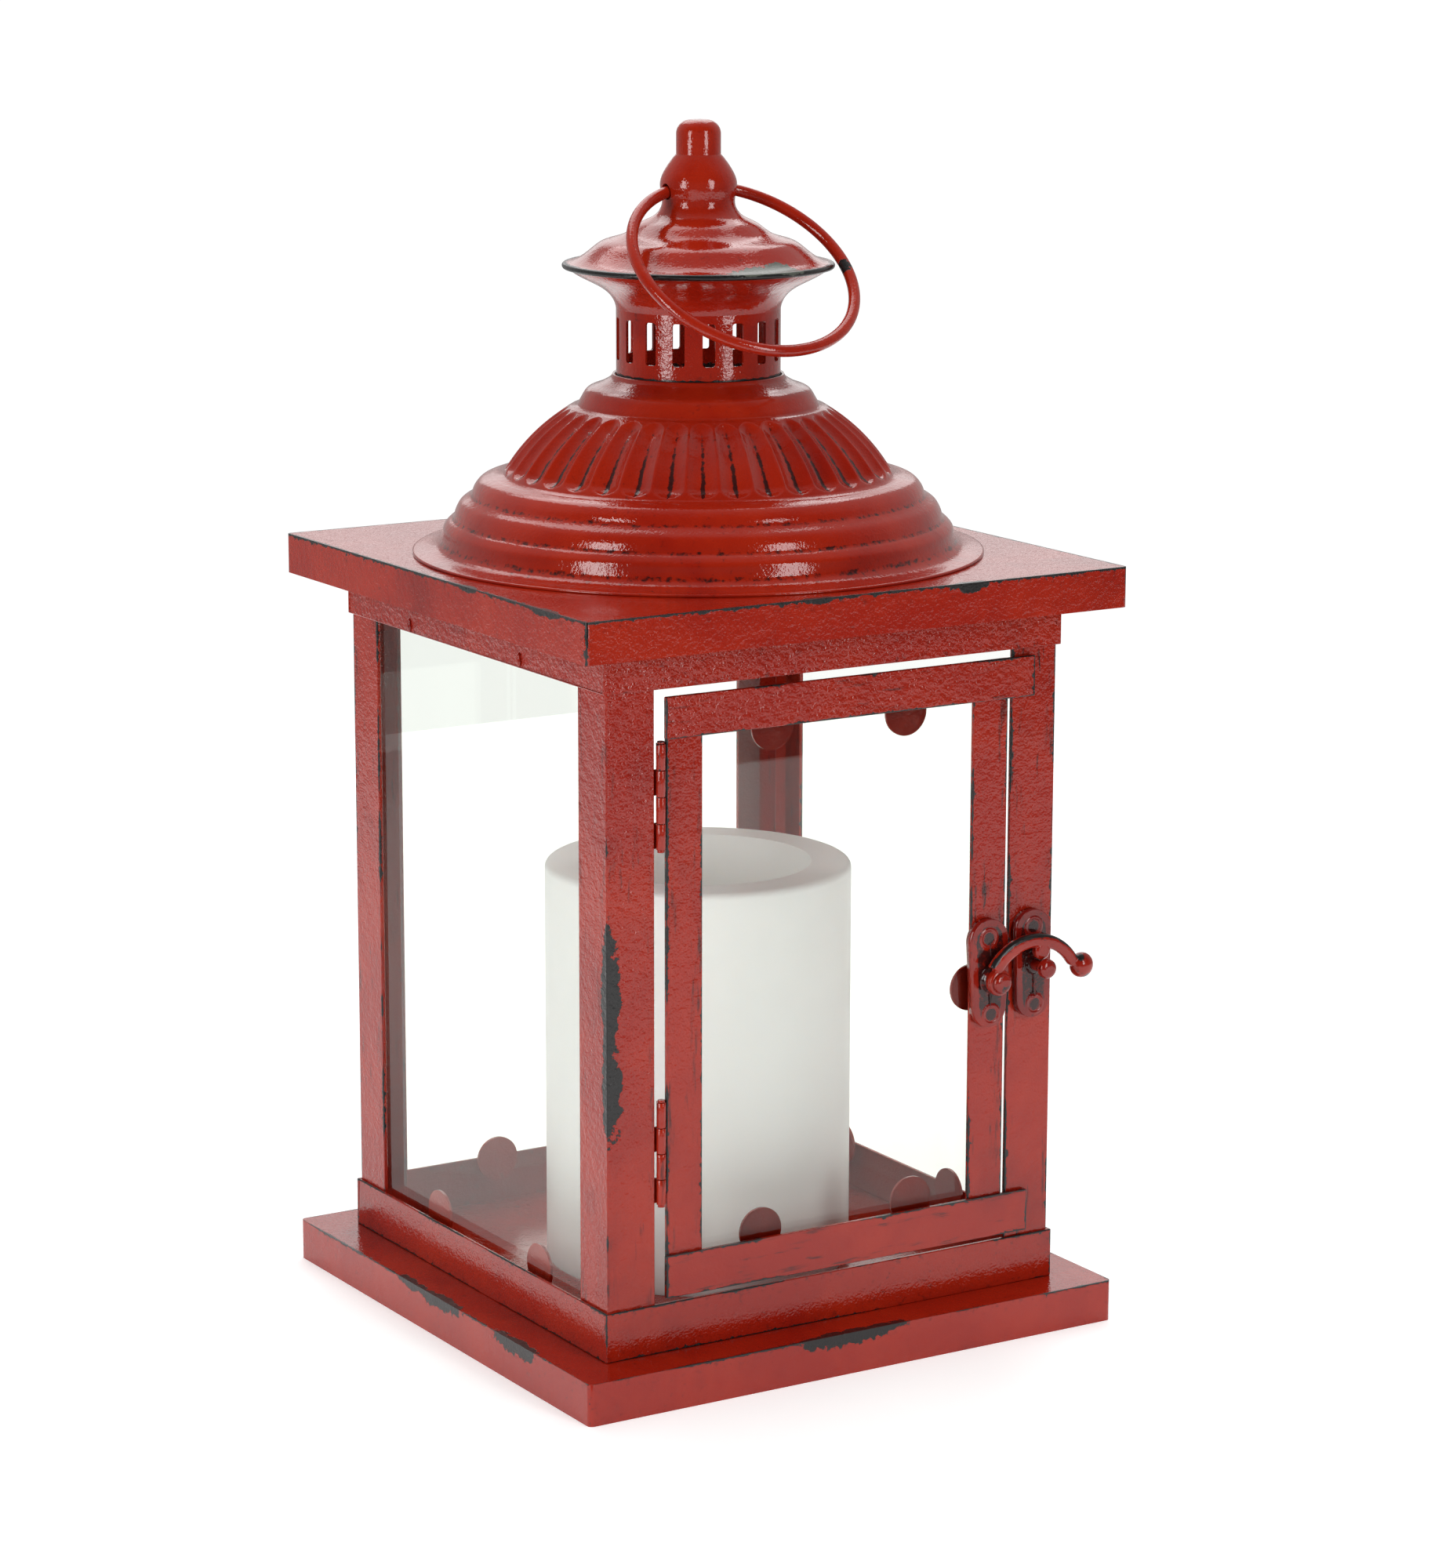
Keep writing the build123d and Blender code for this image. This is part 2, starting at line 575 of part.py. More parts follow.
def lamp_bulb():
    """Flame-shaped diffuser over the diode."""
    foot = (0, CAVITY_TOP)
    lines = path([foot, (FLAME[0][0], CAVITY_TOP), FLAME[0]]) + [curve(FLAME)] + path([FLAME[-1], foot])
    return spun(*lines)


def battery_housing():
    """Moulded can that fills the cavity, with three battery wells and a switch slot."""
    foot = BASE_TOP + HOUSING_LIFT
    can = rod_z(0, 0, HOUSING_R, (foot, HOUSING_TOP))
    for x, y in battery_places():
        can -= rod_z(x, y, BATTERY_R + WELL_ROOM, (foot + COVER_THICK, WELL_TOP))
        can -= rod_z(x, y, WELL_HOLE_R, (WELL_TOP - 1, BOARD_BAY_FLOOR + 1))
    can -= rod_z(0, 0, COVER_HOLE_R, (foot - 1, foot + COVER_THICK))
    can -= rod_z(0, 0, BOARD_BAY_R, (BOARD_BAY_FLOOR, HOUSING_TOP + 1))
    slot_x = (-SWITCH_TRAVEL, SWITCH_TRAVEL + 2)
    return can - block(slot_x, SWITCH_SLOT_Y, (foot - 1, foot + SWITCH_Z[1]))


def battery_places():
    turns = [math.radians(90 + 120 * index) for index in range(3)]
    return [(BATTERY_CIRCLE * math.cos(t), BATTERY_CIRCLE * math.sin(t)) for t in turns]


def batteries():
    low = BASE_TOP + BATTERY_FOOT
    high = low + BATTERY_LENGTH
    cells = []
    for x, y in battery_places():
        cell = rod_z(x, y, BATTERY_R, (low, high - BATTERY_TIP))
        cells.append(cell + rod_z(x, y, BATTERY_TIP_R, (low, high)))
    return cells


def contacts():
    """Coil contacts under the cells, as short tubes, and the plates above them."""
    foot = BASE_TOP + HOUSING_LIFT + COVER_THICK
    low = BASE_TOP + BATTERY_FOOT
    high = low + BATTERY_LENGTH
    pieces = []
    for x, y in battery_places():
        spring = rod_z(x, y, SPRING_R[1], (foot, low))
        pieces.append(spring - rod_z(x, y, SPRING_R[0], (foot - 1, low + 1)))
        pieces.append(rod_z(x, y, CONTACT_R, (high, high + CONTACT_THICK)))
    return pieces


def battery_cover():
    foot = BASE_TOP + HOUSING_LIFT
    return rod_z(0, 0, COVER_R, (foot, foot + COVER_THICK))


def circuit_board():
    return rod_z(0, 0, BOARD_R, BOARD_Z) + rod_z(0, 0, BOARD_POST_R, (BOARD_Z[1], CAVITY_TOP))


def switch_slider():
    """Small slider in the slot beside the battery cover."""
    left = -SWITCH_TRAVEL + SWITCH_ROOM
    z = (BASE_TOP + SWITCH_Z[0], BASE_TOP + SWITCH_Z[1])
    return block((left, left + SWITCH_LENGTH), SWITCH_Y, z)


# ---- write every node ----
save(base_tray(), "base_tray")
save(roof_plate(), "roof_plate")
save_group(band((BASE_TOP, LOWER_BAND_TOP)), "lower_band")
save_group(band((UPPER_BAND_BOTTOM, ROOF_TOP - SHEET)), "upper_band")
save(post(-1, -1), "post_front_left")
save(drilled_post(post(1, -1)), "post_front_right")
save(post(-1, 1), "post_back_left")
save(post(1, 1), "post_back_right")

for name, turn, low, high in (("left", 0, LEFT_TABS_LOW, LEFT_TABS_HIGH),
                              ("back", -90, EVEN_TABS, EVEN_TABS),
                              ("right", 180, EVEN_TABS, EVEN_TABS)):
    save(Rot(0, 0, turn) * fixed_pane(), f"glass_{name}")
    save_group([Rot(0, 0, turn) * tab for tab in pane_tabs(low, high)], f"glass_tabs_{name}")

save(stile(HINGE_STILE_X), "door_stile_hinge")
save(latch_stile(), "door_stile_latch")
save(rail(LOW_RAIL_Z), "door_rail_bottom")
save(rail(HIGH_RAIL_Z), "door_rail_top")
save(door_glass(), "door_glass")
save_group(door_tabs(), "door_glass_tabs")

for name, span in zip(("upper", "lower"), HINGE_SPANS):
    save(frame_leaf(span), f"{name}_hinge_frame_leaf")
    save(door_leaf(span), f"{name}_hinge_door_leaf")
    save(hinge_pin(span), f"{name}_hinge_pin")

door_back = DOOR_SHEET - DOOR_FACE
post_back = POST_SHEET - POST_FACE
latch_head = RIVET_SINK - DOOR_FACE - PLATE_THICK
keeper_head = RIVET_SINK - POST_FACE - PLATE_THICK
save(latch_plate(), "latch_plate")
save_group([rivet(x, z, door_back, latch_head) for x, z in LATCH_RIVETS], "latch_rivets")
save(pivot_rivet(), "latch_pivot_rivet")
save(latch_arm(), "latch_arm")
save(keeper_plate(), "keeper_plate")
save_group([rivet(x, z, post_back, keeper_head) for x, z in KEEPER_RIVETS], "keeper_rivets")
save(keeper_pin(), "keeper_pin")

save(roof_dome(), "roof_dome")
save(vent_tube(), "vent_tube")
save(cap(), "chimney_cap")
save(finial_knob(), "finial_knob")
save(ring_handle(), "ring_handle")

save(candle_shell(), "candle_shell")
save(light_cup(), "candle_light_cup")
save(lamp_bulb(), "candle_lamp_bulb")
save(battery_housing(), "battery_housing")
save_group(batteries(), "batteries")
save_group(contacts(), "battery_contacts")
save(battery_cover(), "battery_cover")
save(circuit_board(), "circuit_board")
save(switch_slider(), "switch_slider")
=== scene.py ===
import math

import bmesh
import bpy
import numpy as np
from mathutils import Matrix, Vector


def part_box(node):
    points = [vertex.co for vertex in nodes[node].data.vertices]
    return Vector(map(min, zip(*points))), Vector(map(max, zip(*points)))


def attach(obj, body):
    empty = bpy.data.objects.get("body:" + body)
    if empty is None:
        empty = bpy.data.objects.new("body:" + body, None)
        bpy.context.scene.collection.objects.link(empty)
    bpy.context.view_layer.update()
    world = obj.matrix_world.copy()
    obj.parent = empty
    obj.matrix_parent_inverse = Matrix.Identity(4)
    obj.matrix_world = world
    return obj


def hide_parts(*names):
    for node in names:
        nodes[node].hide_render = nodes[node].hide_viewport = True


# Looks of the barn lantern, in the CAD's frame: +Z up, the door faces -Y. Blender works in metres.
# The outlines and places of shaped pieces and worn spots are written in millimetres.

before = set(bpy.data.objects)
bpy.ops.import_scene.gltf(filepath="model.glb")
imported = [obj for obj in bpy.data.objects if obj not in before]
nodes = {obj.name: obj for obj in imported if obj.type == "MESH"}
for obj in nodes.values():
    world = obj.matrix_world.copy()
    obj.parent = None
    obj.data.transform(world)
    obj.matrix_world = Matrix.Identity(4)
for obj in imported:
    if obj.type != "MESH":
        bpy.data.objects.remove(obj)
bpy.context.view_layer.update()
scene = bpy.context.scene
MM = 0.001


def point(x, y, z):
    return (x * MM, y * MM, z * MM)


# ---------------------------------------------------------------- node helpers
class Tree:
    """A material's node tree, with one short call for each kind of node."""

    def __init__(self, name):
        self.material = bpy.data.materials.new(name)
        self.material.use_nodes = True
        self.tree = self.material.node_tree
        self.tree.nodes.clear()
        self.out = self.tree.nodes.new("ShaderNodeOutputMaterial")
        self.place = self.tree.nodes.new("ShaderNodeTexCoord").outputs["Object"]

    def put(self, socket, value):
        if hasattr(value, "links"):
            self.tree.links.new(value, socket)
        else:
            socket.default_value = value

    def math(self, kind, a, b=0.0):
        node = self.tree.nodes.new("ShaderNodeMath")
        node.operation = kind
        self.put(node.inputs[0], a)
        self.put(node.inputs[1], b)
        return node.outputs[0]

    def hypot(self, a, b):
        squares = self.math("ADD", self.math("MULTIPLY", a, a), self.math("MULTIPLY", b, b))
        return self.math("SQRT", squares)

    def centred(self, value, amount):
        """A noise of 0 to 1, moved to lie about zero and scaled."""
        return self.math("MULTIPLY", self.math("SUBTRACT", value, 0.5), amount)

    def vector(self, kind, a, b=(0.0, 0.0, 0.0)):
        node = self.tree.nodes.new("ShaderNodeVectorMath")
        node.operation = kind
        self.put(node.inputs[0], a)
        self.put(node.inputs[1], b)
        return node.outputs["Value" if kind == "LENGTH" else "Vector"]

    def split(self, value):
        node = self.tree.nodes.new("ShaderNodeSeparateXYZ")
        self.put(node.inputs[0], value)
        return node.outputs

    def noise(self, scale, detail, rough, stretch=(1.0, 1.0, 1.0), at=(0.0, 0.0, 0.0), warp=0.0):
        node = self.tree.nodes.new("ShaderNodeTexNoise")
        spot = self.vector("ADD", self.vector("MULTIPLY", self.place, stretch), at)
        self.put(node.inputs["Vector"], spot)
        node.inputs["Scale"].default_value = scale
        node.inputs["Detail"].default_value = detail
        node.inputs["Roughness"].default_value = rough
        node.inputs["Distortion"].default_value = warp
        return node.outputs[0]

    def cells(self, scale, feature="SMOOTH_F1"):
        node = self.tree.nodes.new("ShaderNodeTexVoronoi")
        node.feature = feature
        self.put(node.inputs["Vector"], self.place)
        node.inputs["Scale"].default_value = scale
        return node.outputs["Distance"]

    def ramp(self, value, low, high, to_low=0.0, to_high=1.0):
        """Smooth step of value from low to high."""
        node = self.tree.nodes.new("ShaderNodeMapRange")
        node.interpolation_type = "SMOOTHSTEP"
        for name, number in (("Value", value), ("From Min", low), ("From Max", high),
                             ("To Min", to_low), ("To Max", to_high)):
            self.put(node.inputs[name], number)
        return node.outputs[0]

    def mix(self, factor, a, b):
        """Colour a where factor is 0 and b where it is 1."""
        node = self.tree.nodes.new("ShaderNodeMix")
        node.data_type = "RGBA"
        self.put(node.inputs["Factor"], factor)
        colour_a, colour_b = [socket for socket in node.inputs if socket.type == "RGBA"]
        self.put(colour_a, a)
        self.put(colour_b, b)
        return next(socket for socket in node.outputs if socket.type == "RGBA")

    def attribute(self, name):
        node = self.tree.nodes.new("ShaderNodeAttribute")
        node.attribute_name = name
        return node.outputs["Fac"]

    def bump(self, height, strength, distance):
        node = self.tree.nodes.new("ShaderNodeBump")
        node.inputs["Strength"].default_value = strength
        node.inputs["Distance"].default_value = distance
        self.put(node.inputs["Height"], height)
        return node.outputs[0]

    def principled(self, **values):
        node = self.tree.nodes.new("ShaderNodeBsdfPrincipled")
        for name, value in values.items():
            self.put(node.inputs[name.replace("_", " ")], value)
        return node.outputs[0]

    def finish(self, shader):
        self.tree.links.new(shader, self.out.inputs["Surface"])
        return self.material


# ---------------------------------------------------------------- materials
RED = (0.300, 0.0115, 0.0038, 1.0)
RED_DEEP = (0.160, 0.0050, 0.0038, 1.0)
RED_WARM = (0.365, 0.0190, 0.0050, 1.0)
BLACK = (0.0085, 0.0075, 0.0075, 1.0)
# Dark colour for the soot streaks and rubbed edges, and also for painted shade in hollows and creases.
SOOT_AND_SHADE = (0.016, 0.006, 0.006, 1.0)
GREY_GREEN = (0.085, 0.092, 0.075, 1.0)
GRAIN = {"x": (0.12, 1.0, 1.0), "z": (1.0, 1.0, 0.12), "none": (1.0, 1.0, 1.0)}
ENAMEL_RELIEF = 0.00026
WAX_RELIEF = 0.0004
MOULD_RELIEF = 0.0001


def edge_gap(t, low, high):
    """Distance to the nearest box edge, for a point on the faces of the box low to high."""
    centre = (low + high) / 2
    half = (high - low) / 2
    offset = t.vector("ABSOLUTE", t.vector("SUBTRACT", t.place, tuple(centre)))
    a, b, c = t.split(t.vector("SUBTRACT", tuple(half), offset))
    return t.math("MAXIMUM", t.math("MINIMUM", a, b), t.math("MINIMUM", t.math("MAXIMUM", a, b), c))


def chip_mask(t, chips, ragged):
    """Patches where the enamel is gone: (centre, radii) ovals in millimetres with a ragged border."""
    total = None
    for centre, radii in chips:
        gone = t.vector("DIVIDE", t.vector("SUBTRACT", t.place, point(*centre)), point(*radii))
        inside = t.math("SUBTRACT", 1.0, t.vector("LENGTH", gone))
        total = inside if total is None else t.math("MAXIMUM", total, inside)
    return t.ramp(t.math("ADD", total, t.centred(ragged, 1.9)), 0.00, 0.06)


def hoop_mask(t, hoops, ragged):
    """Worn hoops: ((x, y, z), axis, radius, reach) in millimetres."""
    total = None
    for centre, axis, radius, reach in hoops:
        offset = dict(zip("XYZ", t.split(t.vector("SUBTRACT", t.place, point(*centre)))))
        lift = offset.pop(axis)
        out = t.math("SUBTRACT", t.hypot(*offset.values()), radius * MM)
        near = t.math("SUBTRACT", 1.0, t.math("DIVIDE", t.hypot(out, lift), reach * MM))
        total = near if total is None else t.math("MAXIMUM", total, near)
    return t.ramp(t.math("ADD", total, t.centred(ragged, 1.6)), 0.05, 0.25)


def edge_wear(t, gap, patch, ragged, edge, worn):
    """Black along a box's edges: a ragged line that widens and fades from place to place."""
    often = t.ramp(patch, 0.70 - 0.36 * worn, 0.82 - 0.36 * worn, 0.12, 1.0)
    spots = t.ramp(t.noise(560.0, 3.0, 0.6, at=(0.6, 0.3, 0.8)), 0.50, 0.74, 0.0, 1.4)
    width = t.math("ADD", t.ramp(ragged, 0.30, 0.66, 0.35, 1.1), spots)
    reach = t.math("MULTIPLY", t.math("MULTIPLY", often, edge), width)
    return t.ramp(t.math("SUBTRACT", reach, gap), -0.00008, 0.00010)


def enamel(name, box=None, grain="none", edge=0.0005, worn=0.5, hammer=0.35, streaks=0.5, chips=(),
           wash=False, chip_colour=BLACK, hoops=(), deep=0.55):
    """Glossy brick-red enamel, rubbed black along the edges of its box and over its chips and hoops.

    grain is the direction of the brush streaks. edge and worn are the width and the spread of the
    black edges, hammer is the strength of the dents and deep that of the darker patches. When the
    mesh's values are switched on, its wear values say where it is black, and its other values say where
    painted shade darkens its hollows and creases, with random brush grime on top.
    """
    t = Tree("enamel_" + name)
    fine = t.noise(900.0, 4.0, 0.6)
    ragged = t.noise(330.0, 5.0, 0.62, at=(0.31, 0.17, 0.05))
    patch = t.noise(42.0, 3.0, 0.5, at=(0.7, 0.2, 0.4))
    tone = t.noise(26.0, 4.0, 0.6, warp=0.6)
    brushed = t.noise(520.0, 4.0, 0.65, stretch=GRAIN[grain], at=(0.11, 0.53, 0.29))
    colour = t.mix(t.ramp(tone, 0.35, 0.72), RED, RED_WARM)
    deeper = t.math("MULTIPLY", t.ramp(patch, 0.85 - 0.60 * deep, 1.00 - 0.35 * deep), deep)
    colour = t.mix(deeper, colour, RED_DEEP)
    where = t.ramp(t.noise(34.0, 2.0, 0.5, at=(0.9, 0.4, 0.1)), 0.38, 0.60)
    dark = t.math("MULTIPLY", t.math("MULTIPLY", t.ramp(brushed, 0.585, 0.70), where), streaks)
    black = None
    if box is not None:
        gap = edge_gap(t, *box)
        rubbed = t.math("MULTIPLY", t.ramp(gap, edge * 9, 0.0), t.ramp(brushed, 0.54, 0.68))
        dark = t.math("MAXIMUM", dark, t.math("MULTIPLY", rubbed, 0.8 * min(1.0, streaks + 0.25)))
        black = edge_wear(t, gap, patch, ragged, edge, worn)
    if wash:
        black = t.ramp(t.math("ADD", t.attribute("wear"), t.centred(ragged, 1.1)), 0.62, 0.74)
        # Painted shade: the mesh's second values darken hollows, creases and the ground round raised parts.
        # Random brush grime is added on top.
        shade_and_grime_level = t.math("ADD", t.attribute("wash"), t.centred(brushed, 1.5))
        dark = t.math("MAXIMUM", dark, t.ramp(shade_and_grime_level, 0.50, 0.86, 0.0, 0.93))
    if hoops:
        black = hoop_mask(t, hoops, ragged)
    # Brush streaks, rubbed edges and painted shade all darken towards the same dark colour.
    colour = t.mix(dark, colour, SOOT_AND_SHADE)
    if black is not None:
        colour = t.mix(black, colour, BLACK)
    if chips:
        gone = chip_mask(t, chips, ragged)
        colour = t.mix(gone, colour, chip_colour)
        black = gone if black is None else t.math("MAXIMUM", black, gone)
    if black is None:
        black = dark
    rough = t.math("ADD", t.ramp(fine, 0.3, 0.7, 0.05, 0.13), t.math("MULTIPLY", black, 0.22))
    dents = t.math("MULTIPLY", t.cells(620.0), hammer)
    height = t.math("ADD", dents, t.math("MULTIPLY", t.noise(230.0, 2.0, 0.5), 0.75))
    height = t.math("ADD", height, t.math("MULTIPLY", black, -0.35))
    peel = t.noise(1500.0, 1.0, 0.5, at=(0.2, 0.6, 0.8))
    height = t.math("ADD", height, t.math("MULTIPLY", peel, 0.42 + 0.40 * hammer))
    relief = t.bump(height, 0.36 + 0.50 * hammer, ENAMEL_RELIEF)
    return t.finish(t.principled(Base_Color=colour, Roughness=rough, Normal=relief, Coat_Weight=0.12,
                                 Coat_Roughness=0.03, Specular_IOR_Level=0.42))


def clear_glass():
    """A thin clear pane. It lets light straight through and mirrors more at grazing angles."""
    t = Tree("glass_pane")
    smear = t.ramp(t.noise(18.0, 4.0, 0.6, stretch=(1.0, 1.0, 0.4)), 0.55, 0.85)
    tint = t.mix(smear, (0.985, 0.995, 0.980, 1.0), (0.955, 0.968, 0.950, 1.0))
    through = t.tree.nodes.new("ShaderNodeBsdfTransparent")
    t.put(through.inputs["Color"], tint)
    gloss = t.principled(Base_Color=(0.96, 0.97, 0.95, 1.0), Metallic=1.0,
                         Roughness=t.ramp(smear, 0.0, 1.0, 0.01, 0.08))
    shine = t.tree.nodes.new("ShaderNodeLayerWeight")
    shine.inputs["Blend"].default_value = 0.5
    grazing = t.math("POWER", shine.outputs["Facing"], 5.0)
    head_on = t.math("ADD", t.math("MULTIPLY", smear, 0.012), 0.03)
    both = t.tree.nodes.new("ShaderNodeMixShader")
    t.put(both.inputs[0], t.math("ADD", t.math("MULTIPLY", grazing, 0.75), head_on))
    t.put(both.inputs[1], through.outputs[0])
    t.put(both.inputs[2], gloss)
    return t.finish(both.outputs[0])


def wax():
    """White wax, a little greyer near its foot, with soft mottling and a few specks."""
    t = Tree("candle_wax")
    mottle = t.noise(38.0, 5.0, 0.6, warp=0.5)
    height = t.split(t.place)[2]
    lower = t.ramp(height, 0.055, 0.012)
    colour = t.mix(t.ramp(mottle, 0.35, 0.75), (0.940, 0.945, 0.935, 1.0), (0.900, 0.910, 0.900, 1.0))
    colour = t.mix(t.math("MULTIPLY", lower, 0.45), colour, (0.72, 0.72, 0.69, 1.0))
    specks = t.ramp(t.noise(420.0, 2.0, 0.5), 0.76, 0.80)
    colour = t.mix(t.math("MULTIPLY", specks, 0.25), colour, (0.45, 0.44, 0.41, 1.0))
    swell = t.math("ADD", t.noise(140.0, 4.0, 0.6), t.math("MULTIPLY", mottle, 2.0))
    return t.finish(t.principled(Base_Color=colour, Roughness=t.ramp(mottle, 0.3, 0.7, 0.42, 0.58),
                                 Normal=t.bump(swell, 0.18, WAX_RELIEF), Subsurface_Weight=0.55,
                                 Subsurface_Radius=(0.008, 0.0075, 0.007), Subsurface_Scale=1.0,
                                 Specular_IOR_Level=0.4))


def moulded(name, colour, second, rough=0.45, metallic=0.0):
    """Plain moulded or plated parts inside the candle."""
    t = Tree(name)
    tone = t.noise(60.0, 4.0, 0.6)
    fine = t.noise(600.0, 3.0, 0.6)
    shade = t.mix(t.ramp(tone, 0.35, 0.7), colour, second)
    return t.finish(t.principled(Base_Color=shade, Metallic=metallic, Normal=t.bump(fine, 0.15, MOULD_RELIEF),
                                 Roughness=t.ramp(fine, 0.3, 0.7, rough - 0.07, rough + 0.07)))


def jacket():
    """Cell sleeve: a dark band and a lighter one, split by height."""
    t = Tree("battery_jacket")
    low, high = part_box("batteries")
    height = t.split(t.place)[2]
    tall = high.z - low.z
    split = t.ramp(height, low.z + 0.72 * tall, low.z + 0.73 * tall)
    tone = t.noise(90.0, 3.0, 0.5)
    colour = t.mix(split, (0.030, 0.034, 0.045, 1.0), (0.42, 0.27, 0.09, 1.0))
    colour = t.mix(t.math("MULTIPLY", t.ramp(tone, 0.4, 0.7), 0.3), colour, (0.10, 0.10, 0.11, 1.0))
    return t.finish(t.principled(Base_Color=colour, Roughness=t.ramp(tone, 0.3, 0.7, 0.22, 0.34),
                                 Metallic=0.35))


def board_green():
    """Solder mask with faint tracks."""
    t = Tree("board")
    tracks = t.cells(260.0, feature="DISTANCE_TO_EDGE")
    colour = t.mix(t.ramp(tracks, 0.02, 0.05), (0.055, 0.20, 0.075, 1.0), (0.020, 0.105, 0.035, 1.0))
    return t.finish(t.principled(Base_Color=colour, Roughness=t.ramp(tracks, 0.0, 0.3, 0.30, 0.42)))


# ---------------------------------------------------------------- mesh helpers
def add_mesh(name, points, faces, body, material, outward=False, **attributes):
    """A smooth piece that rides on a body. Each attribute holds one number for each point."""
    mesh = bpy.data.meshes.new(name)
    mesh.from_pydata([tuple(p) for p in points], [], [tuple(int(i) for i in f) for f in faces])
    mesh.update()
    for key, values in attributes.items():
        layer = mesh.attributes.new(key, "FLOAT", "POINT")
        layer.data.foreach_set("value", np.asarray(values, np.float32))
    piece = bpy.data.objects.new(name, mesh)
    scene.collection.objects.link(piece)
    mesh.materials.append(material)
    mesh.polygons.foreach_set("use_smooth", [True] * len(mesh.polygons))
    if outward:
        shape = bmesh.new()
        shape.from_mesh(mesh)
        bmesh.ops.recalc_face_normals(shape, faces=shape.faces)
        shape.to_mesh(mesh)
        shape.free()
    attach(piece, body)
    return piece


def quads(rings, count):
    """Faces between rings of count points each."""
    faces = []
    for start in range(0, (rings - 1) * count, count):
        for k in range(count):
            beside = (k + 1) % count
            faces.append((start + k, start + beside, start + count + beside, start + count + k))
    return faces


def smooth_curve(points, step):
    """Points at about one step apart on a Catmull-Rom curve through (r, z) points."""
    points = np.array(points, float)
    ends = np.vstack([2 * points[0] - points[1], points, 2 * points[-1] - points[-2]])
    out = []
    for a, b, c, d in zip(ends, ends[1:], ends[2:], ends[3:]):
        count = max(2, int(np.ceil(np.linalg.norm(c - b) / step)))
        for t in np.arange(count) / count:
            out.append(0.5 * (2 * b + (c - a) * t + (2 * a - 5 * b + 4 * c - d) * t ** 2
                              + (3 * b - a - 3 * c + d) * t ** 3))
    out.append(points[-1])
    return np.array(out)


def profile_normals(line):
    """Unit normals of an open (r, z) line that runs upwards, pointing away from the axis."""
    tangent = np.gradient(line, axis=0)
    tangent /= np.linalg.norm(tangent, axis=1)[:, None]
    return np.stack([tangent[:, 1], -tangent[:, 0]], 1)


def turned(name, outline, segments, body, material, wear, wash, push):
    """Turns a closed (r, z) outline about Z. push is how far each point moves along r and along z."""
    count = len(outline)
    angles = np.arange(segments) * 2 * math.pi / segments
    r = outline[:, :1] + push[0]
    z = outline[:, 1:] + push[1]
    points = np.stack([r * np.cos(angles), r * np.sin(angles), z], 2).reshape(-1, 3) * MM
    i, j = np.meshgrid(np.arange(count), np.arange(segments), indexing="ij")
    this, following, beside = i * segments, (i + 1) % count * segments, (j + 1) % segments
    faces = np.stack([this + j, this + beside, following + beside, following + j], 2).reshape(-1, 4)
    return add_mesh(name, points, faces, body, material, wear=wear.ravel(), wash=wash.ravel())


# ---------------------------------------------------------------- materials on the CAD pieces
FOLD = 0.0003       # rounding of the strips' and posts' edges
SMALL_FOLD = 0.00012


def dress(node, material, bevel=0.0, segments=3):
    """Gives a CAD node its material, with its folded edges rounded by modifiers."""
    piece = nodes[node]
    piece.data.materials.clear()
    piece.data.materials.append(material)
    if bevel:
        weld = piece.modifiers.new("weld", "WELD")
        weld.merge_threshold = 0.00002
        rounded = piece.modifiers.new("rounded", "BEVEL")
        rounded.width = bevel
        rounded.segments = segments
        rounded.limit_method = "ANGLE"
        rounded.angle_limit = math.radians(35)
        rounded.harden_normals = True


def dress_strip(node, bevel=FOLD, segments=3, **look):
    """Enamel that is worn along all the edges of the node's own box."""
    dress(node, enamel(node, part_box(node), **look), bevel, segments)


def dress_sheet(node, bevel, **look):
    """Enamel for a folded sheet, worn along its upper and corner edges only."""
    low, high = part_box(node)
    below = Vector((0, 0, 0.05))
    dress(node, enamel(node, (low - below, high), **look), bevel)


base_chips = [((-84, -2, 11.4), (2.5, 12.0, 3.2)), ((-84, 17, 11.6), (2.5, 7.0, 2.4)),
              ((-84, -44, 11.4), (2.5, 13.0, 3.4)), ((-5, -84, 11.5), (17.0, 2.5, 3.4)),
              ((8, -84, 12), (9.0, 2.5, 2.6))]
roof_chips = [((33, -84.3, 212.6), (6.5, 2.0, 1.8)), ((-15, -84.3, 213), (5.0, 2.0, 1.2)),
              ((-84.3, -63, 212.8), (2.0, 7.0, 1.4)), ((-84.3, -22, 213), (2.0, 5.0, 1.2))]
post_chips = [((-70.8, -70.8, 113), (4.2, 2.6, 17)), ((-70.8, -70.8, 86), (4.6, 2.6, 13)),
              ((-70.8, -70.8, 100), (2.6, 2.0, 12))]
cap_chips = [((-3.0, -35.4, 293.3), (12.0, 3.6, 1.7)), ((6.0, -34.5, 293.4), (6.0, 4.4, 2.0))]
ring_chips = [((31.5, -25.0, 291.0), (2.2, 2.6, 2.6))]
vent_foot = ((0, 0, 261.6), "Z", 22.5, 1.2)
cap_rim = ((0, 0, 291.6), "Z", 37.0, 1.7)

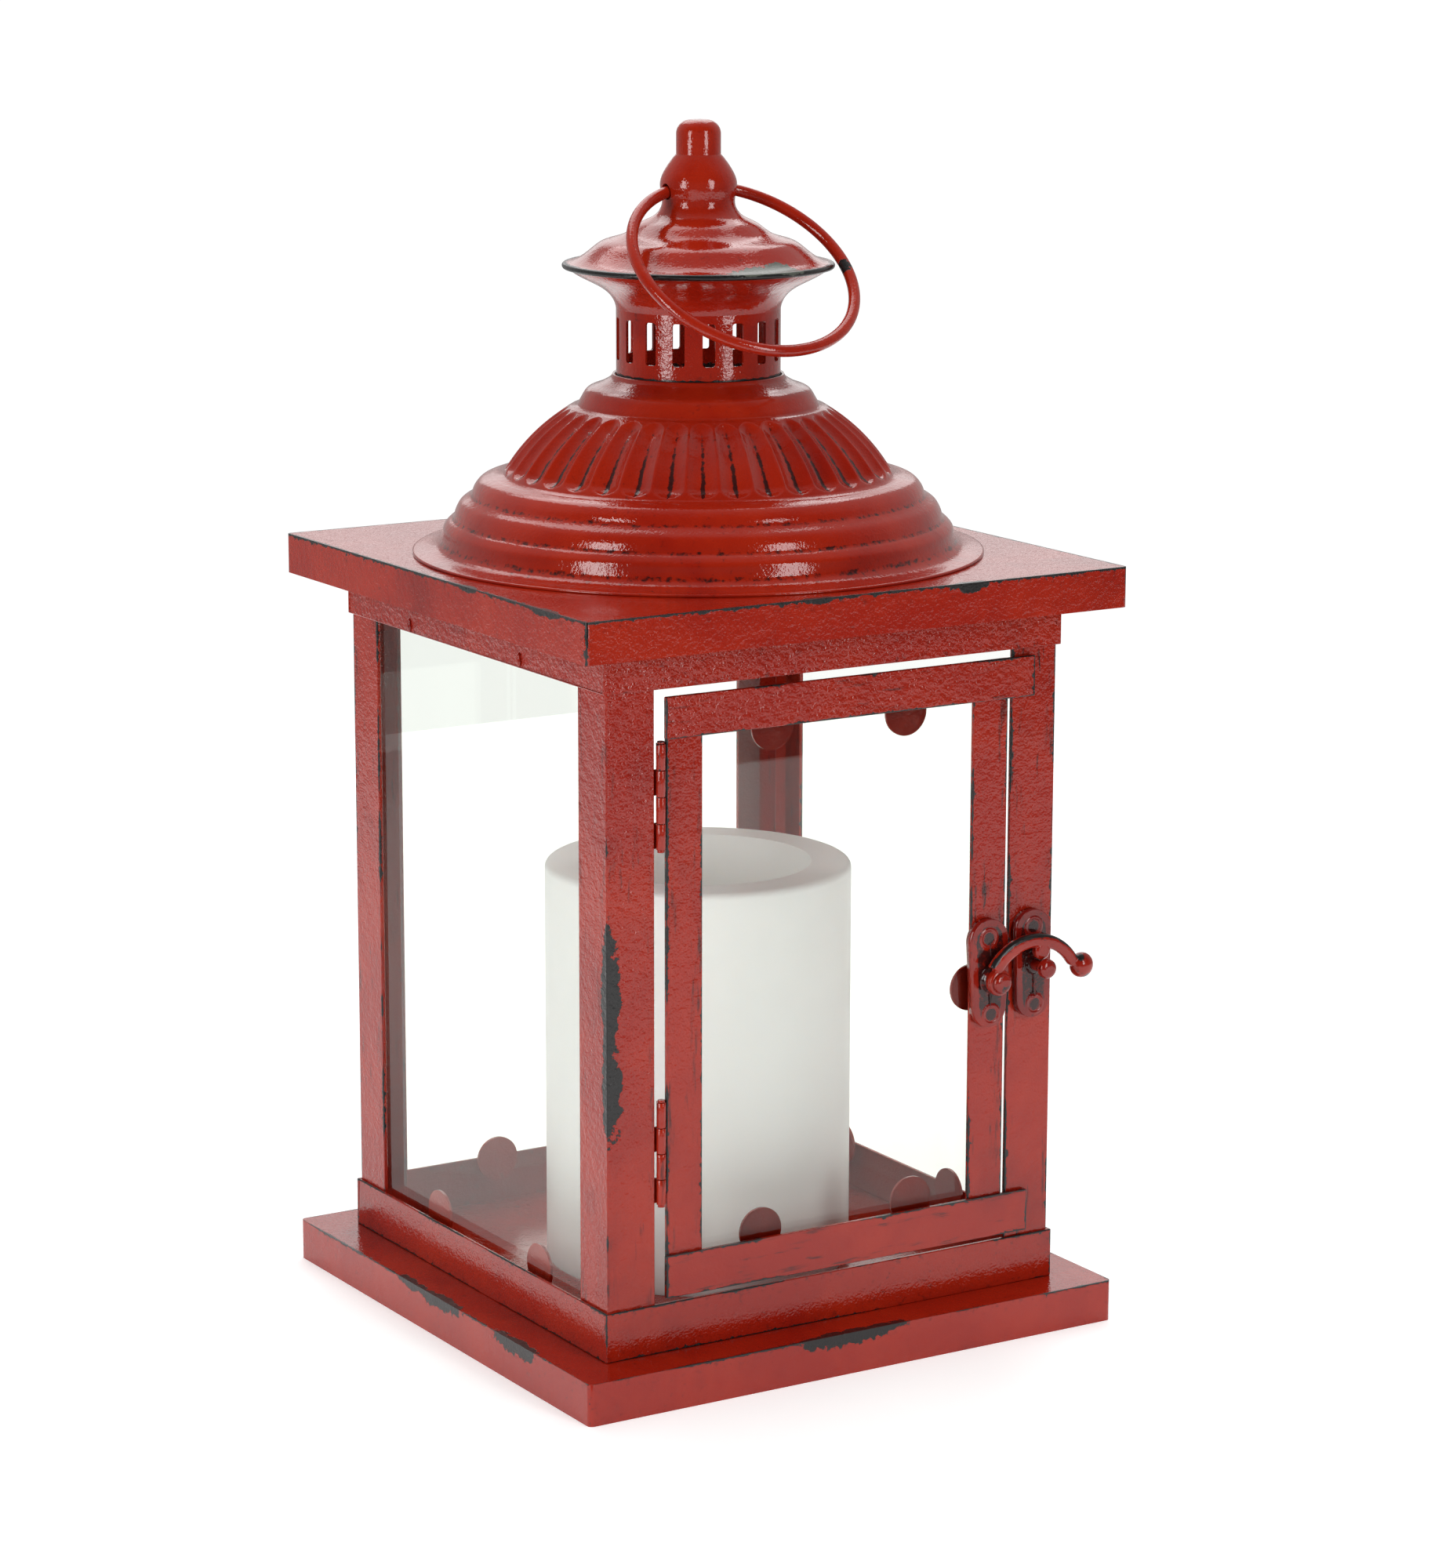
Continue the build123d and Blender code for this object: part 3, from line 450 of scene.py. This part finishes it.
dress_sheet("base_tray", 0.0005, worn=0.85, hammer=0.30, streaks=0.30, chips=base_chips)
dress_sheet("roof_plate", 0.0004, edge=0.0007, worn=1.30, hammer=0.38, streaks=0.30, chips=roof_chips)
dress_strip("lower_band", worn=0.80, hammer=0.30, streaks=0.40)
dress_strip("upper_band", edge=0.0004, worn=0.20, hammer=1.0, streaks=0.40)
dress_strip("post_front_left", grain="z", worn=0.20, hammer=0.85, streaks=0.55, chips=post_chips)
for node in ("post_front_right", "post_back_left", "post_back_right"):
    dress_strip(node, grain="z", edge=0.0006, worn=0.70, hammer=0.60, streaks=0.95)
for node in ("door_stile_hinge", "door_stile_latch"):
    dress_strip(node, grain="z", edge=0.0006, worn=0.80, hammer=0.65, streaks=0.95)
for node, hammer in (("door_rail_top", 1.0), ("door_rail_bottom", 0.35)):
    dress_strip(node, grain="x", worn=0.75, hammer=hammer, streaks=0.65)
for node in nodes:
    if node.startswith(("upper_hinge", "lower_hinge")):
        dress_strip(node, SMALL_FOLD, 2, grain="z", edge=0.0004, worn=0.60, hammer=0.30, streaks=0.70)
tab_enamel = enamel("tabs", hammer=0.35, streaks=0.35)
for node in ("glass_tabs_left", "glass_tabs_right", "glass_tabs_back", "door_glass_tabs"):
    dress(node, tab_enamel, SMALL_FOLD, 2)
pane = clear_glass()
for node in ("glass_left", "glass_right", "glass_back", "door_glass"):
    dress(node, pane)
cast_enamel = enamel("cast", hammer=0.20, streaks=0.75, deep=0.8)
for node in ("latch_rivets", "keeper_rivets", "latch_pivot_rivet", "latch_plate", "keeper_plate",
             "keeper_pin", "latch_arm", "roof_dome"):
    dress(node, cast_enamel)
dress("vent_tube", enamel("vent", hammer=0.30, streaks=0.40, hoops=[vent_foot]))
dress("chimney_cap", enamel("cap", hammer=0.22, streaks=0.30, chips=cap_chips, chip_colour=GREY_GREEN,
                            hoops=[cap_rim]))
dress("finial_knob", enamel("knob", hammer=0.25, streaks=0.30))
dress("ring_handle", enamel("ring", hammer=0.18, streaks=0.45, chips=ring_chips))
dress("candle_shell", wax())

white = moulded("white_plastic", (0.74, 0.74, 0.72, 1.0), (0.68, 0.68, 0.66, 1.0))
for node in ("candle_light_cup", "battery_housing", "battery_cover"):
    dress(node, white)
dress("candle_lamp_bulb", moulded("flame_diffuser", (0.86, 0.76, 0.52, 1.0), (0.90, 0.83, 0.66, 1.0), 0.4))
dress("batteries", jacket())
dress("battery_contacts", moulded("nickel", (0.62, 0.61, 0.58, 1.0), (0.50, 0.49, 0.47, 1.0), 0.28, 1.0))
dress("circuit_board", board_green())
dress("switch_slider", moulded("black_plastic", (0.022, 0.022, 0.024, 1.0), (0.034, 0.034, 0.036, 1.0)))


# ---------------------------------------------------------------- the fluted dome
STEPS = [(78.6, 213.9), (73.6, 214.7), (71.2, 216.2), (70.4, 218.2), (70.0, 220.3), (68.6, 221.9),
         (67.4, 222.8), (66.6, 225.0), (65.4, 227.0), (63.4, 228.4), (62.3, 229.4), (61.4, 231.4),
         (59.6, 233.3), (56.6, 234.3)]
FOOT, HAUNCH, HEAD = (53.6, 234.6), (45.7, 244.9), (35.0, 253.2)
SHOULDER = [(33.2, 253.5), (32.3, 255.2), (30.4, 258.0), (27.0, 259.4), (24.2, 261.0), (23.4, 262.2)]
FLUTES = 36
POINTS_PER_FLUTE = 18
FLUTE_DEPTH = 2.0
FLUTE_HALF_WIDTH = 0.485                 # of the flutes' spacing
FLUTE_START, FLUTE_STOP = 0.035, 0.965   # along the arc from FOOT to HEAD
FLUTE_FOOT, FLUTE_ARCH = 0.11, 0.13      # length of the rounded lower and upper ends, along the arc
ARC_POINTS = 56
SKIN = 0.8
LIP_Z = 213.25                           # underside of the flange


def arc_through(a, b, c, count):
    """Points on the circle through three (r, z) points."""
    ax, az, bx, bz, cx, cz = *a, *b, *c
    aa, bb, cc = ax ** 2 + az ** 2, bx ** 2 + bz ** 2, cx ** 2 + cz ** 2
    d = 2 * (ax * (bz - cz) + bx * (cz - az) + cx * (az - bz))
    ux = (aa * (bz - cz) + bb * (cz - az) + cc * (az - bz)) / d
    uz = (aa * (cx - bx) + bb * (ax - cx) + cc * (bx - ax)) / d
    radius = math.hypot(ax - ux, az - uz)
    turns = np.linspace(math.atan2(az - uz, ax - ux), math.atan2(cz - uz, cx - ux), count)
    return np.array([(ux + radius * math.cos(t), uz + radius * math.sin(t)) for t in turns])


def flutes(rows, segments):
    """Depth of the flutes and the painted shade in their troughs, for each row along the arc and each
    segment.
    """
    depth = np.zeros((rows, segments))
    trough_shade = np.zeros((rows, segments))
    turn = (np.arange(segments) * FLUTES / segments + 0.5) % 1.0 - 0.5
    for row in range(rows):
        t = row / (rows - 1)
        end = min(1.0, (t - FLUTE_START) / FLUTE_FOOT, (FLUTE_STOP - t) / FLUTE_ARCH)
        if end <= 0:
            continue
        side = turn / (FLUTE_HALF_WIDTH * math.sqrt(1 - (1 - end) ** 2))
        across = np.abs(side)
        trough = FLUTE_DEPTH * end ** 0.5 * (0.75 + 0.25 * (1 - t)) * (1 - np.clip(across, 0, 1) ** 1.7)
        depth[row] = np.where(across < 1, trough, 0.0)
        # Painted shade along the deepest line of each flute, stronger towards the foot of the dome.
        lower = np.clip(1.30 - 0.80 * t, 0.55, 1.15)
        trough_shade[row] = np.where(across < 1, np.exp(-((side - 0.03) / 0.20) ** 2) * lower, 0.0)
    return depth, trough_shade


def dome():
    """The spun dome in one skin: flange, steps, pressed flutes and shoulder."""
    segments = FLUTES * POINTS_PER_FLUTE
    steps = smooth_curve(STEPS, 0.55)
    fluted = arc_through(FOOT, HAUNCH, HEAD, ARC_POINTS)
    shoulder = smooth_curve(SHOULDER, 0.6)
    outer = np.vstack([[(STEPS[0][0], LIP_Z)], steps, fluted, shoulder])
    normal = profile_normals(outer)
    normal[0] = (0.0, 0.0)
    first = 1 + len(steps)
    last = first + ARC_POINTS
    inner = (outer - normal * SKIN)[1:]
    depth = np.zeros((len(outer), segments))
    wash = np.zeros((len(outer), segments))
    wear = np.zeros((len(outer), segments))
    depth[first:last], wash[first:last] = flutes(ARC_POINTS, segments)
    heading = np.unwrap(np.arctan2(normal[:, 1], normal[:, 0]))
    valley = np.clip(-np.gradient(heading), 0, 0.5)
    # Painted shade in the valleys between the steps, where the profile turns inwards.
    wash[1:first] += np.clip(valley[1:first] * 4.5, 0, 0.62)[:, None]
    wear[1:6] = 0.28

    def both(field):
        """The outer skin's values, then the same for the inner skin, which runs back down."""
        return np.vstack([field, field[1:][::-1]])

    piece = turned("dome_shell", np.vstack([outer, inner[::-1]]), segments, "lantern_body",
                   enamel("dome", hammer=0.22, streaks=0.45, wash=True), both(wear), both(wash),
                   (both(-depth * normal[:, :1]), both(-depth * normal[:, 1:])))
    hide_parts("roof_dome")


dome()


# ---------------------------------------------------------------- cast latch and keeper
PIVOT, PIN = (49.0, 100.5), (63.0, 103.1)        # (x, z) of the arm's rivet and of the keeper's pin
DOOR_FACE, POST_FACE = 71.2, 70.8                # -y of the faces that the plates lie on
THICK, ROUNDING, SUNK = 2.6, 1.15, 1.15          # a plate's thickness, rim radius and field depth
ARM_Y = -77.0                                    # middle plane of the arm
ARCH_X, ARCH_Z, ARCH_R = 60.4, 95.4, 15.4        # arc of the arm's centre line
ARM_END, LOBE, BALL = (75.2, 102.7), (63.0, 107.6), (76.7, 101.8)
AROUND, BAR_SIDES = 40, 24
TIP = 0.02                                       # radius of a turned end, so that it has no doubled points


def lobed(lobes):
    """Round a row of discs (x, z, r): for each outline point its disc's centre, radius and direction."""
    found = []
    for turn in np.linspace(0, 2 * math.pi, 120, endpoint=False):
        n = np.array([math.cos(turn), math.sin(turn)])
        reaches = [x * n[0] + z * n[1] + r for x, z, r in lobes]
        found.append((reaches.index(max(reaches)), n))
    rows = []
    for (k, n), (following, m) in zip(found, found[1:] + found[:1]):
        rows.append((*lobes[k], *n))
        if following != k:
            a, b, facing = np.array(lobes[k]), np.array(lobes[following]), (n + m) / np.linalg.norm(n + m)
            count = int(np.hypot(*(b - a)[:2]) / 0.4) + 2
            rows += [(*(a + (b - a) * step / count), *facing) for step in range(1, count)]
    return np.array(rows)


def soft(value, low, high):
    """Smooth step of value from low to high."""
    t = np.clip((value - low) / (high - low), 0, 1)
    return t * t * (3 - 2 * t)


def ridge(value, middle, width):
    """1 at the middle, falling away smoothly on both sides."""
    return np.exp(-((value - middle) / width) ** 2)


def plate_face(xz, inset, holes, pits, pads):
    """Height of a cast plate above its back and the painted shade on it, for points at xz."""
    short = np.clip(ROUNDING - inset, 0, ROUNDING)
    rim = THICK - ROUNDING + np.sqrt(ROUNDING ** 2 - short ** 2)
    rise = rim - SUNK * soft(inset, 1.25, 2.30)
    # Painted shade: darker over the sunken field, along the outer border, inside holes and pits and round the
    # foot of each pad, a little everywhere, and light on the lips round the holes.
    dark = 0.74 * soft(inset, 1.2, 2.0) + 0.30 * soft(-inset, -0.35, 0.0) + 0.12
    for x, z in holes:
        away = np.hypot(xz[:, 0] - x, xz[:, 1] - z)
        rise = np.maximum(rise, THICK + 0.15 - 2.2 * np.clip(np.abs(away - 2.55) - 0.25, 0, None) ** 1.5)
        rise = np.where(away < 1.9, np.minimum(rise, THICK - 2.1 * soft(-away, -1.9, -1.15)), rise)
        dark = np.where(np.abs(away - 2.45) < 0.7, 0.10, np.maximum(dark, 1.1 * soft(-away, -1.7, -1.1)))
    for x, z, wide, tall in pits:
        away = np.hypot((xz[:, 0] - x) / wide, (xz[:, 1] - z) / tall)
        rise = rise - 1.1 * soft(-away, -1.0, -0.6) + 0.90 * ridge(away, 1.25, 0.25)
        dark = np.maximum(dark, 0.8 * soft(-away, -1.1, -0.7))
    for x, z, reach, up in pads:
        away = np.hypot(xz[:, 0] - x, xz[:, 1] - z)
        rise = np.maximum(rise, THICK + up * soft(-away, -reach, 1.0 - reach))
        dark = np.maximum(dark, 0.45 * ridge(away, reach, 0.6))
    return np.clip(rise, 0, None), dark


def cast_plate(name, node, body, lobes, face, holes, pits=(), pads=()):
    """A cast plate with a rounded rim, a sunken field and a lip round each hole. Its back is y = -face."""
    rows = lobed(lobes)
    centre, radius, facing = rows[:, :2], rows[:, 2:3], rows[:, 3:]
    points, wear, wash = [], [], []
    insets = np.concatenate([[0.0], np.linspace(0, 0.5, 22), np.linspace(0.53, 0.995, 14)])
    for ring, share in enumerate(insets):
        inset = radius[:, 0] * share
        xz = centre + facing * (radius - inset[:, None])
        rise, dark = plate_face(xz, inset, holes, pits, pads)
        if ring == 0:
            rise = np.zeros(len(xz))
        points.append(np.stack([xz[:, 0], -face - rise, xz[:, 1]], 1))
        wear.append(0.36 * ridge(inset, 0.55, 0.35))
        wash.append(dark)
    count, rings = len(rows), len(points)
    faces = quads(rings, count) + [tuple(range(count)), tuple(range((rings - 1) * count, rings * count))]
    piece = add_mesh(name, np.vstack(points) * MM, faces, body, washed_cast, outward=True,
                     wear=np.concatenate(wear), wash=np.concatenate(wash))
    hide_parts(node)


def round_bar(outline, x, z):
    """Points and faces of a (radius, y) outline turned about the line along Y through (x, z)."""
    turns = np.arange(AROUND) * 2 * math.pi / AROUND
    points = [(x + r * math.cos(t), y, z + r * math.sin(t)) for r, y in outline for t in turns]
    return points, quads(len(outline), AROUND)


def closed_bar(outline, x, z):
    """The same, with both ends closed."""
    points, faces = round_bar(outline, x, z)
    last = len(points) - AROUND
    return points, faces + [tuple(range(AROUND)), tuple(range(last, last + AROUND))]


def stud(name, node, body, outline, place):
    """A rivet or pin along Y at place, with its outer end worn."""
    outline = smooth_curve(outline, 0.25)
    points, faces = closed_bar(outline, *place)
    outer_end = outline[:, 1].min()
    wear = [0.56 * float(soft(outer_end + 1.2 - y, 0.0, 1.0)) for x, y, z in points]
    piece = add_mesh(name, np.array(points) * MM, faces, body, washed_cast, outward=True,
                     wear=wear, wash=[0.25] * len(points))
    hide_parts(node)


# Cast parts whose meshes carry painted shade in their recesses. The studs carry an even level, which leaves
# only random grime.
washed_cast = enamel("washed_cast", hammer=0.15, streaks=0.80, wash=True, deep=1.0)
cast_plate("latch_casting", "latch_plate", "door",
           ((48.2, 111.4, 6.1), (49.4, 99.5, 5.0), (48.5, 92.3, 5.1)), DOOR_FACE,
           ((47.9, 112.2), (48.9, 90.7)), pads=((*PIVOT, 3.9, 1.6),))
cast_plate("keeper_casting", "keeper_plate", "lantern_body",
           ((63.0, 112.6, 5.8), (63.4, 93.2, 5.3)), POST_FACE,
           ((63.0, 113.6), (63.7, 91.6)), pits=((62.9, 97.0, 1.3, 2.4),), pads=((*PIN, 3.1, 1.2),))
stud("pivot_head", "latch_pivot_rivet", "door",
     [(TIP, -70.1), (1.55, -70.2), (1.58, -74.0), (1.58, -78.5), (2.75, -78.62), (2.80, -79.0),
      (2.35, -79.6), (1.3, -79.87), (TIP, -79.9)], PIVOT)
stud("keeper_stud", "keeper_pin", "lantern_body",
     [(TIP, -69.7), (1.65, -69.8), (1.66, -73.0), (1.66, -78.2), (1.9, -78.85), (2.6, -79.1),
      (2.72, -79.9), (2.45, -80.9), (1.5, -81.42), (TIP, -81.5)], PIN)


def on_arm(outline):
    """An outline's (radius, y) points, with y measured from the arm's middle plane."""
    return [(r, ARM_Y + y) for r, y in outline]


def arm_bar():
    """The hook's curved bar, from its boss over an arc and down to the ball."""
    turns = np.radians(np.linspace(146, 33, 46))
    line = [(ARCH_X + ARCH_R * math.cos(t), ARCH_Z + ARCH_R * math.sin(t)) for t in turns] + [ARM_END]
    heading = np.gradient(np.array(line), axis=0)
    heading /= np.linalg.norm(heading, axis=1)[:, None]
    half_wide = 2.15 - 0.45 * np.linspace(0, 1, len(line))
    points = []
    for (x, z), (hx, hz), wide in zip(line, heading, half_wide):
        for t in np.arange(BAR_SIDES) * 2 * math.pi / BAR_SIDES:
            a = math.copysign(abs(math.cos(t)) ** 0.65, math.cos(t)) * wide
            b = math.copysign(abs(math.sin(t)) ** 0.65, math.sin(t)) * 1.45
            points.append((x - hz * a, ARM_Y + b, z + hx * a))
    last = len(points) - BAR_SIDES
    ends = [tuple(range(BAR_SIDES)), tuple(range(last, last + BAR_SIDES))]
    return points, quads(len(line), BAR_SIDES) + ends


def hook():
    """The arched arm: bar, boss, lobe and ball, fused and smoothed like a casting."""
    boss = [(1.68, 1.45), (2.9, 1.45), (3.55, 1.1), (3.7, 0.4), (3.7, -0.4), (3.55, -1.1), (2.9, -1.45),
            (1.68, -1.45), (1.68, 1.45)]
    lobe = [(TIP, 1.4), (1.8, 1.4), (2.45, 0.8), (2.45, -0.8), (1.8, -1.4), (TIP, -1.4)]
    ball = [(max(TIP, 3.55 * math.sin(t)), -2.85 * math.cos(t)) for t in np.linspace(0, math.pi, 18)]
    points, faces = [], []
    for more, more_faces in (arm_bar(), round_bar(on_arm(boss), *PIVOT), closed_bar(on_arm(lobe), *LOBE),
                             closed_bar(on_arm(ball), *BALL)):
        start = len(points)
        points.extend(more)
        faces.extend(tuple(i + start for i in face) for face in more_faces)
    arm = enamel("hook", hammer=0.15, streaks=0.80, deep=0.9,
                 hoops=[((ARCH_X, ARM_Y - 1.2, ARCH_Z), "Y", ARCH_R + 2.0, 1.15)])
    piece = add_mesh("hook_casting", np.array(points) * MM, faces, "latch", arm, outward=True)
    fused = piece.modifiers.new("fused", "REMESH")
    fused.mode = "VOXEL"
    fused.voxel_size = 0.00022
    fused.use_smooth_shade = True
    eased = piece.modifiers.new("eased", "SMOOTH")
    eased.factor = 0.5
    eased.iterations = 5
    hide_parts("latch_arm")


hook()


def weld_beads():
    """Two small runs of weld on the left strip of the upper band."""
    rings, around, proud, sunk = 9, 20, 0.75, 0.05
    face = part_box("upper_band")[0].x / MM + sunk
    for index, (y, z) in enumerate(((34.5, 193.0), (-27.3, 193.2))):
        points = []
        for tilt in np.arange(rings) * math.pi / 2 / (rings - 1):
            for t in np.arange(around) * 2 * math.pi / around:
                tall = 2.3 if math.sin(t) > 0 else 1.6
                points.append((face - proud * math.cos(tilt), y + proud * math.sin(tilt) * math.cos(t),
                               z + tall * math.sin(tilt) * math.sin(t)))
        faces = quads(rings, around) + [tuple(range((rings - 1) * around, rings * around))]
        add_mesh(f"weld_bead_{index}", np.array(points) * MM, faces, "lantern_body", cast_enamel,
                 outward=True)


weld_beads()


# ---------------------------------------------------------------- light, floor and camera
def area(name, at, towards, size, power):
    """A rectangular light, hidden from the camera."""
    lamp = bpy.data.lights.new(name, "AREA")
    lamp.shape = "RECTANGLE"
    lamp.size, lamp.size_y = size
    lamp.energy = power
    holder = bpy.data.objects.new(name, lamp)
    holder.location = at
    holder.visible_camera = False
    holder.rotation_euler = (Vector(towards) - Vector(at)).to_track_quat("-Z", "Y").to_euler()
    scene.collection.objects.link(holder)
    return holder


centre = Vector((0.0, 0.0, 0.17))
area("softbox_left", (-1.12, -0.26, 0.50), (0.0, 0.0, 0.35), (0.28, 0.80), 6.3)
area("softbox_right", (0.19, -1.12, 0.50), (0.0, 0.0, 0.35), (0.26, 0.80), 5.0)
area("top_panel", (0.42, 0.95, 1.60), centre, (1.5, 1.2), 12.5)
area("back_panel", (0.9, 1.6, 1.0), centre, (1.2, 1.2), 4.0)
overhead = area("overhead", (0.0, -0.15, 1.7), centre, (1.2, 1.2), 10.5)
overhead.visible_glossy = False

world = bpy.data.worlds.new("studio")
scene.world = world
world.use_nodes = True
sky = world.node_tree
sky.nodes.clear()
sky_out = sky.nodes.new("ShaderNodeOutputWorld")
plain = sky.nodes.new("ShaderNodeBackground")
plain.inputs["Color"].default_value = (1.0, 1.0, 1.0, 1.0)
plain.inputs["Strength"].default_value = 1.05
room = sky.nodes.new("ShaderNodeBackground")
room.inputs["Color"].default_value = (1.0, 0.985, 0.975, 1.0)
direction = sky.nodes.new("ShaderNodeTexCoord").outputs["Generated"]
behind = sky.nodes.new("ShaderNodeVectorMath")
behind.operation = "DOT_PRODUCT"
behind.inputs[1].default_value = (0.48, 0.85, 0.22)
sky.links.new(direction, behind.inputs[0])
parts = sky.nodes.new("ShaderNodeSeparateXYZ")
sky.links.new(direction, parts.inputs[0])


def sky_step(value, low, high, to_low, to_high):
    """Smooth step of a value between two strengths. A strength may be another step."""
    step = sky.nodes.new("ShaderNodeMapRange")
    step.interpolation_type = "SMOOTHSTEP"
    for socket, number in zip(("From Min", "From Max", "To Min", "To Max"), (low, high, to_low, to_high)):
        if hasattr(number, "links"):
            sky.links.new(number, step.inputs[socket])
        else:
            step.inputs[socket].default_value = number
    sky.links.new(value, step.inputs["Value"])
    return step.outputs[0]


# The room is dim in front, dimmer still overhead, and brighter behind the lantern. The camera sees
# plain white instead.
front = sky_step(parts.outputs["Z"], 0.10, 0.50, 0.14, 0.03)
strength = sky_step(behind.outputs["Value"], -0.35, 0.60, front, 0.46)
sky.links.new(strength, room.inputs["Strength"])
seen = sky.nodes.new("ShaderNodeLightPath")
choose = sky.nodes.new("ShaderNodeMixShader")
sky.links.new(seen.outputs["Is Camera Ray"], choose.inputs[0])
sky.links.new(room.outputs[0], choose.inputs[1])
sky.links.new(plain.outputs[0], choose.inputs[2])
sky.links.new(choose.outputs[0], sky_out.inputs["Surface"])


def floor_paper():
    """White paper with a little glow of its own, so that the floor is as white as the backdrop."""
    t = Tree("floor_paper")
    cloud = t.ramp(t.noise(3.0, 2.0, 0.5), 0.3, 0.7)
    shade = t.mix(cloud, (0.90, 0.90, 0.90, 1.0), (0.915, 0.915, 0.915, 1.0))
    return t.finish(t.principled(Base_Color=shade, Roughness=0.9, Specular_IOR_Level=0.1,
                                 Emission_Color=(1.0, 1.0, 1.0, 1.0), Emission_Strength=0.33))


FLOOR_HALF = 0.75
corners = [(x * FLOOR_HALF, y * FLOOR_HALF, 0) for x, y in ((-1, -1), (1, -1), (1, 1), (-1, 1))]
floor_mesh = bpy.data.meshes.new("floor")
floor_mesh.from_pydata(corners, [], [(0, 1, 2, 3)])
floor_mesh.materials.append(floor_paper())
floor = bpy.data.objects.new("floor", floor_mesh)
scene.collection.objects.link(floor)

CAMERA_TURN, CAMERA_LIFT, CAMERA_ROLL = math.radians(-31.538), math.radians(12.116), math.radians(0.088)
CAMERA_TARGET = Vector((0.005706, 0.0, 0.146406))
CAMERA_DISTANCE = 1.277577
SENSOR = 36.0
LENS = 104.96
back = Vector((math.sin(CAMERA_TURN) * math.cos(CAMERA_LIFT), -math.cos(CAMERA_TURN) * math.cos(CAMERA_LIFT),
               math.sin(CAMERA_LIFT)))
level = Vector((math.cos(CAMERA_TURN), math.sin(CAMERA_TURN), 0.0))
upright = back.cross(level)
right = level * math.cos(CAMERA_ROLL) + upright * math.sin(CAMERA_ROLL)
up = upright * math.cos(CAMERA_ROLL) - level * math.sin(CAMERA_ROLL)
lens = bpy.data.cameras.new("camera")
lens.sensor_fit = "VERTICAL"
lens.sensor_height = SENSOR
lens.lens = LENS
camera = bpy.data.objects.new("camera", lens)
scene.collection.objects.link(camera)
place = CAMERA_TARGET + back * CAMERA_DISTANCE
camera.matrix_world = Matrix.Translation(place) @ Matrix((right, up, back)).transposed().to_4x4()
scene.camera = camera
scene.view_settings.view_transform = "Standard"
scene.view_settings.look = "None"
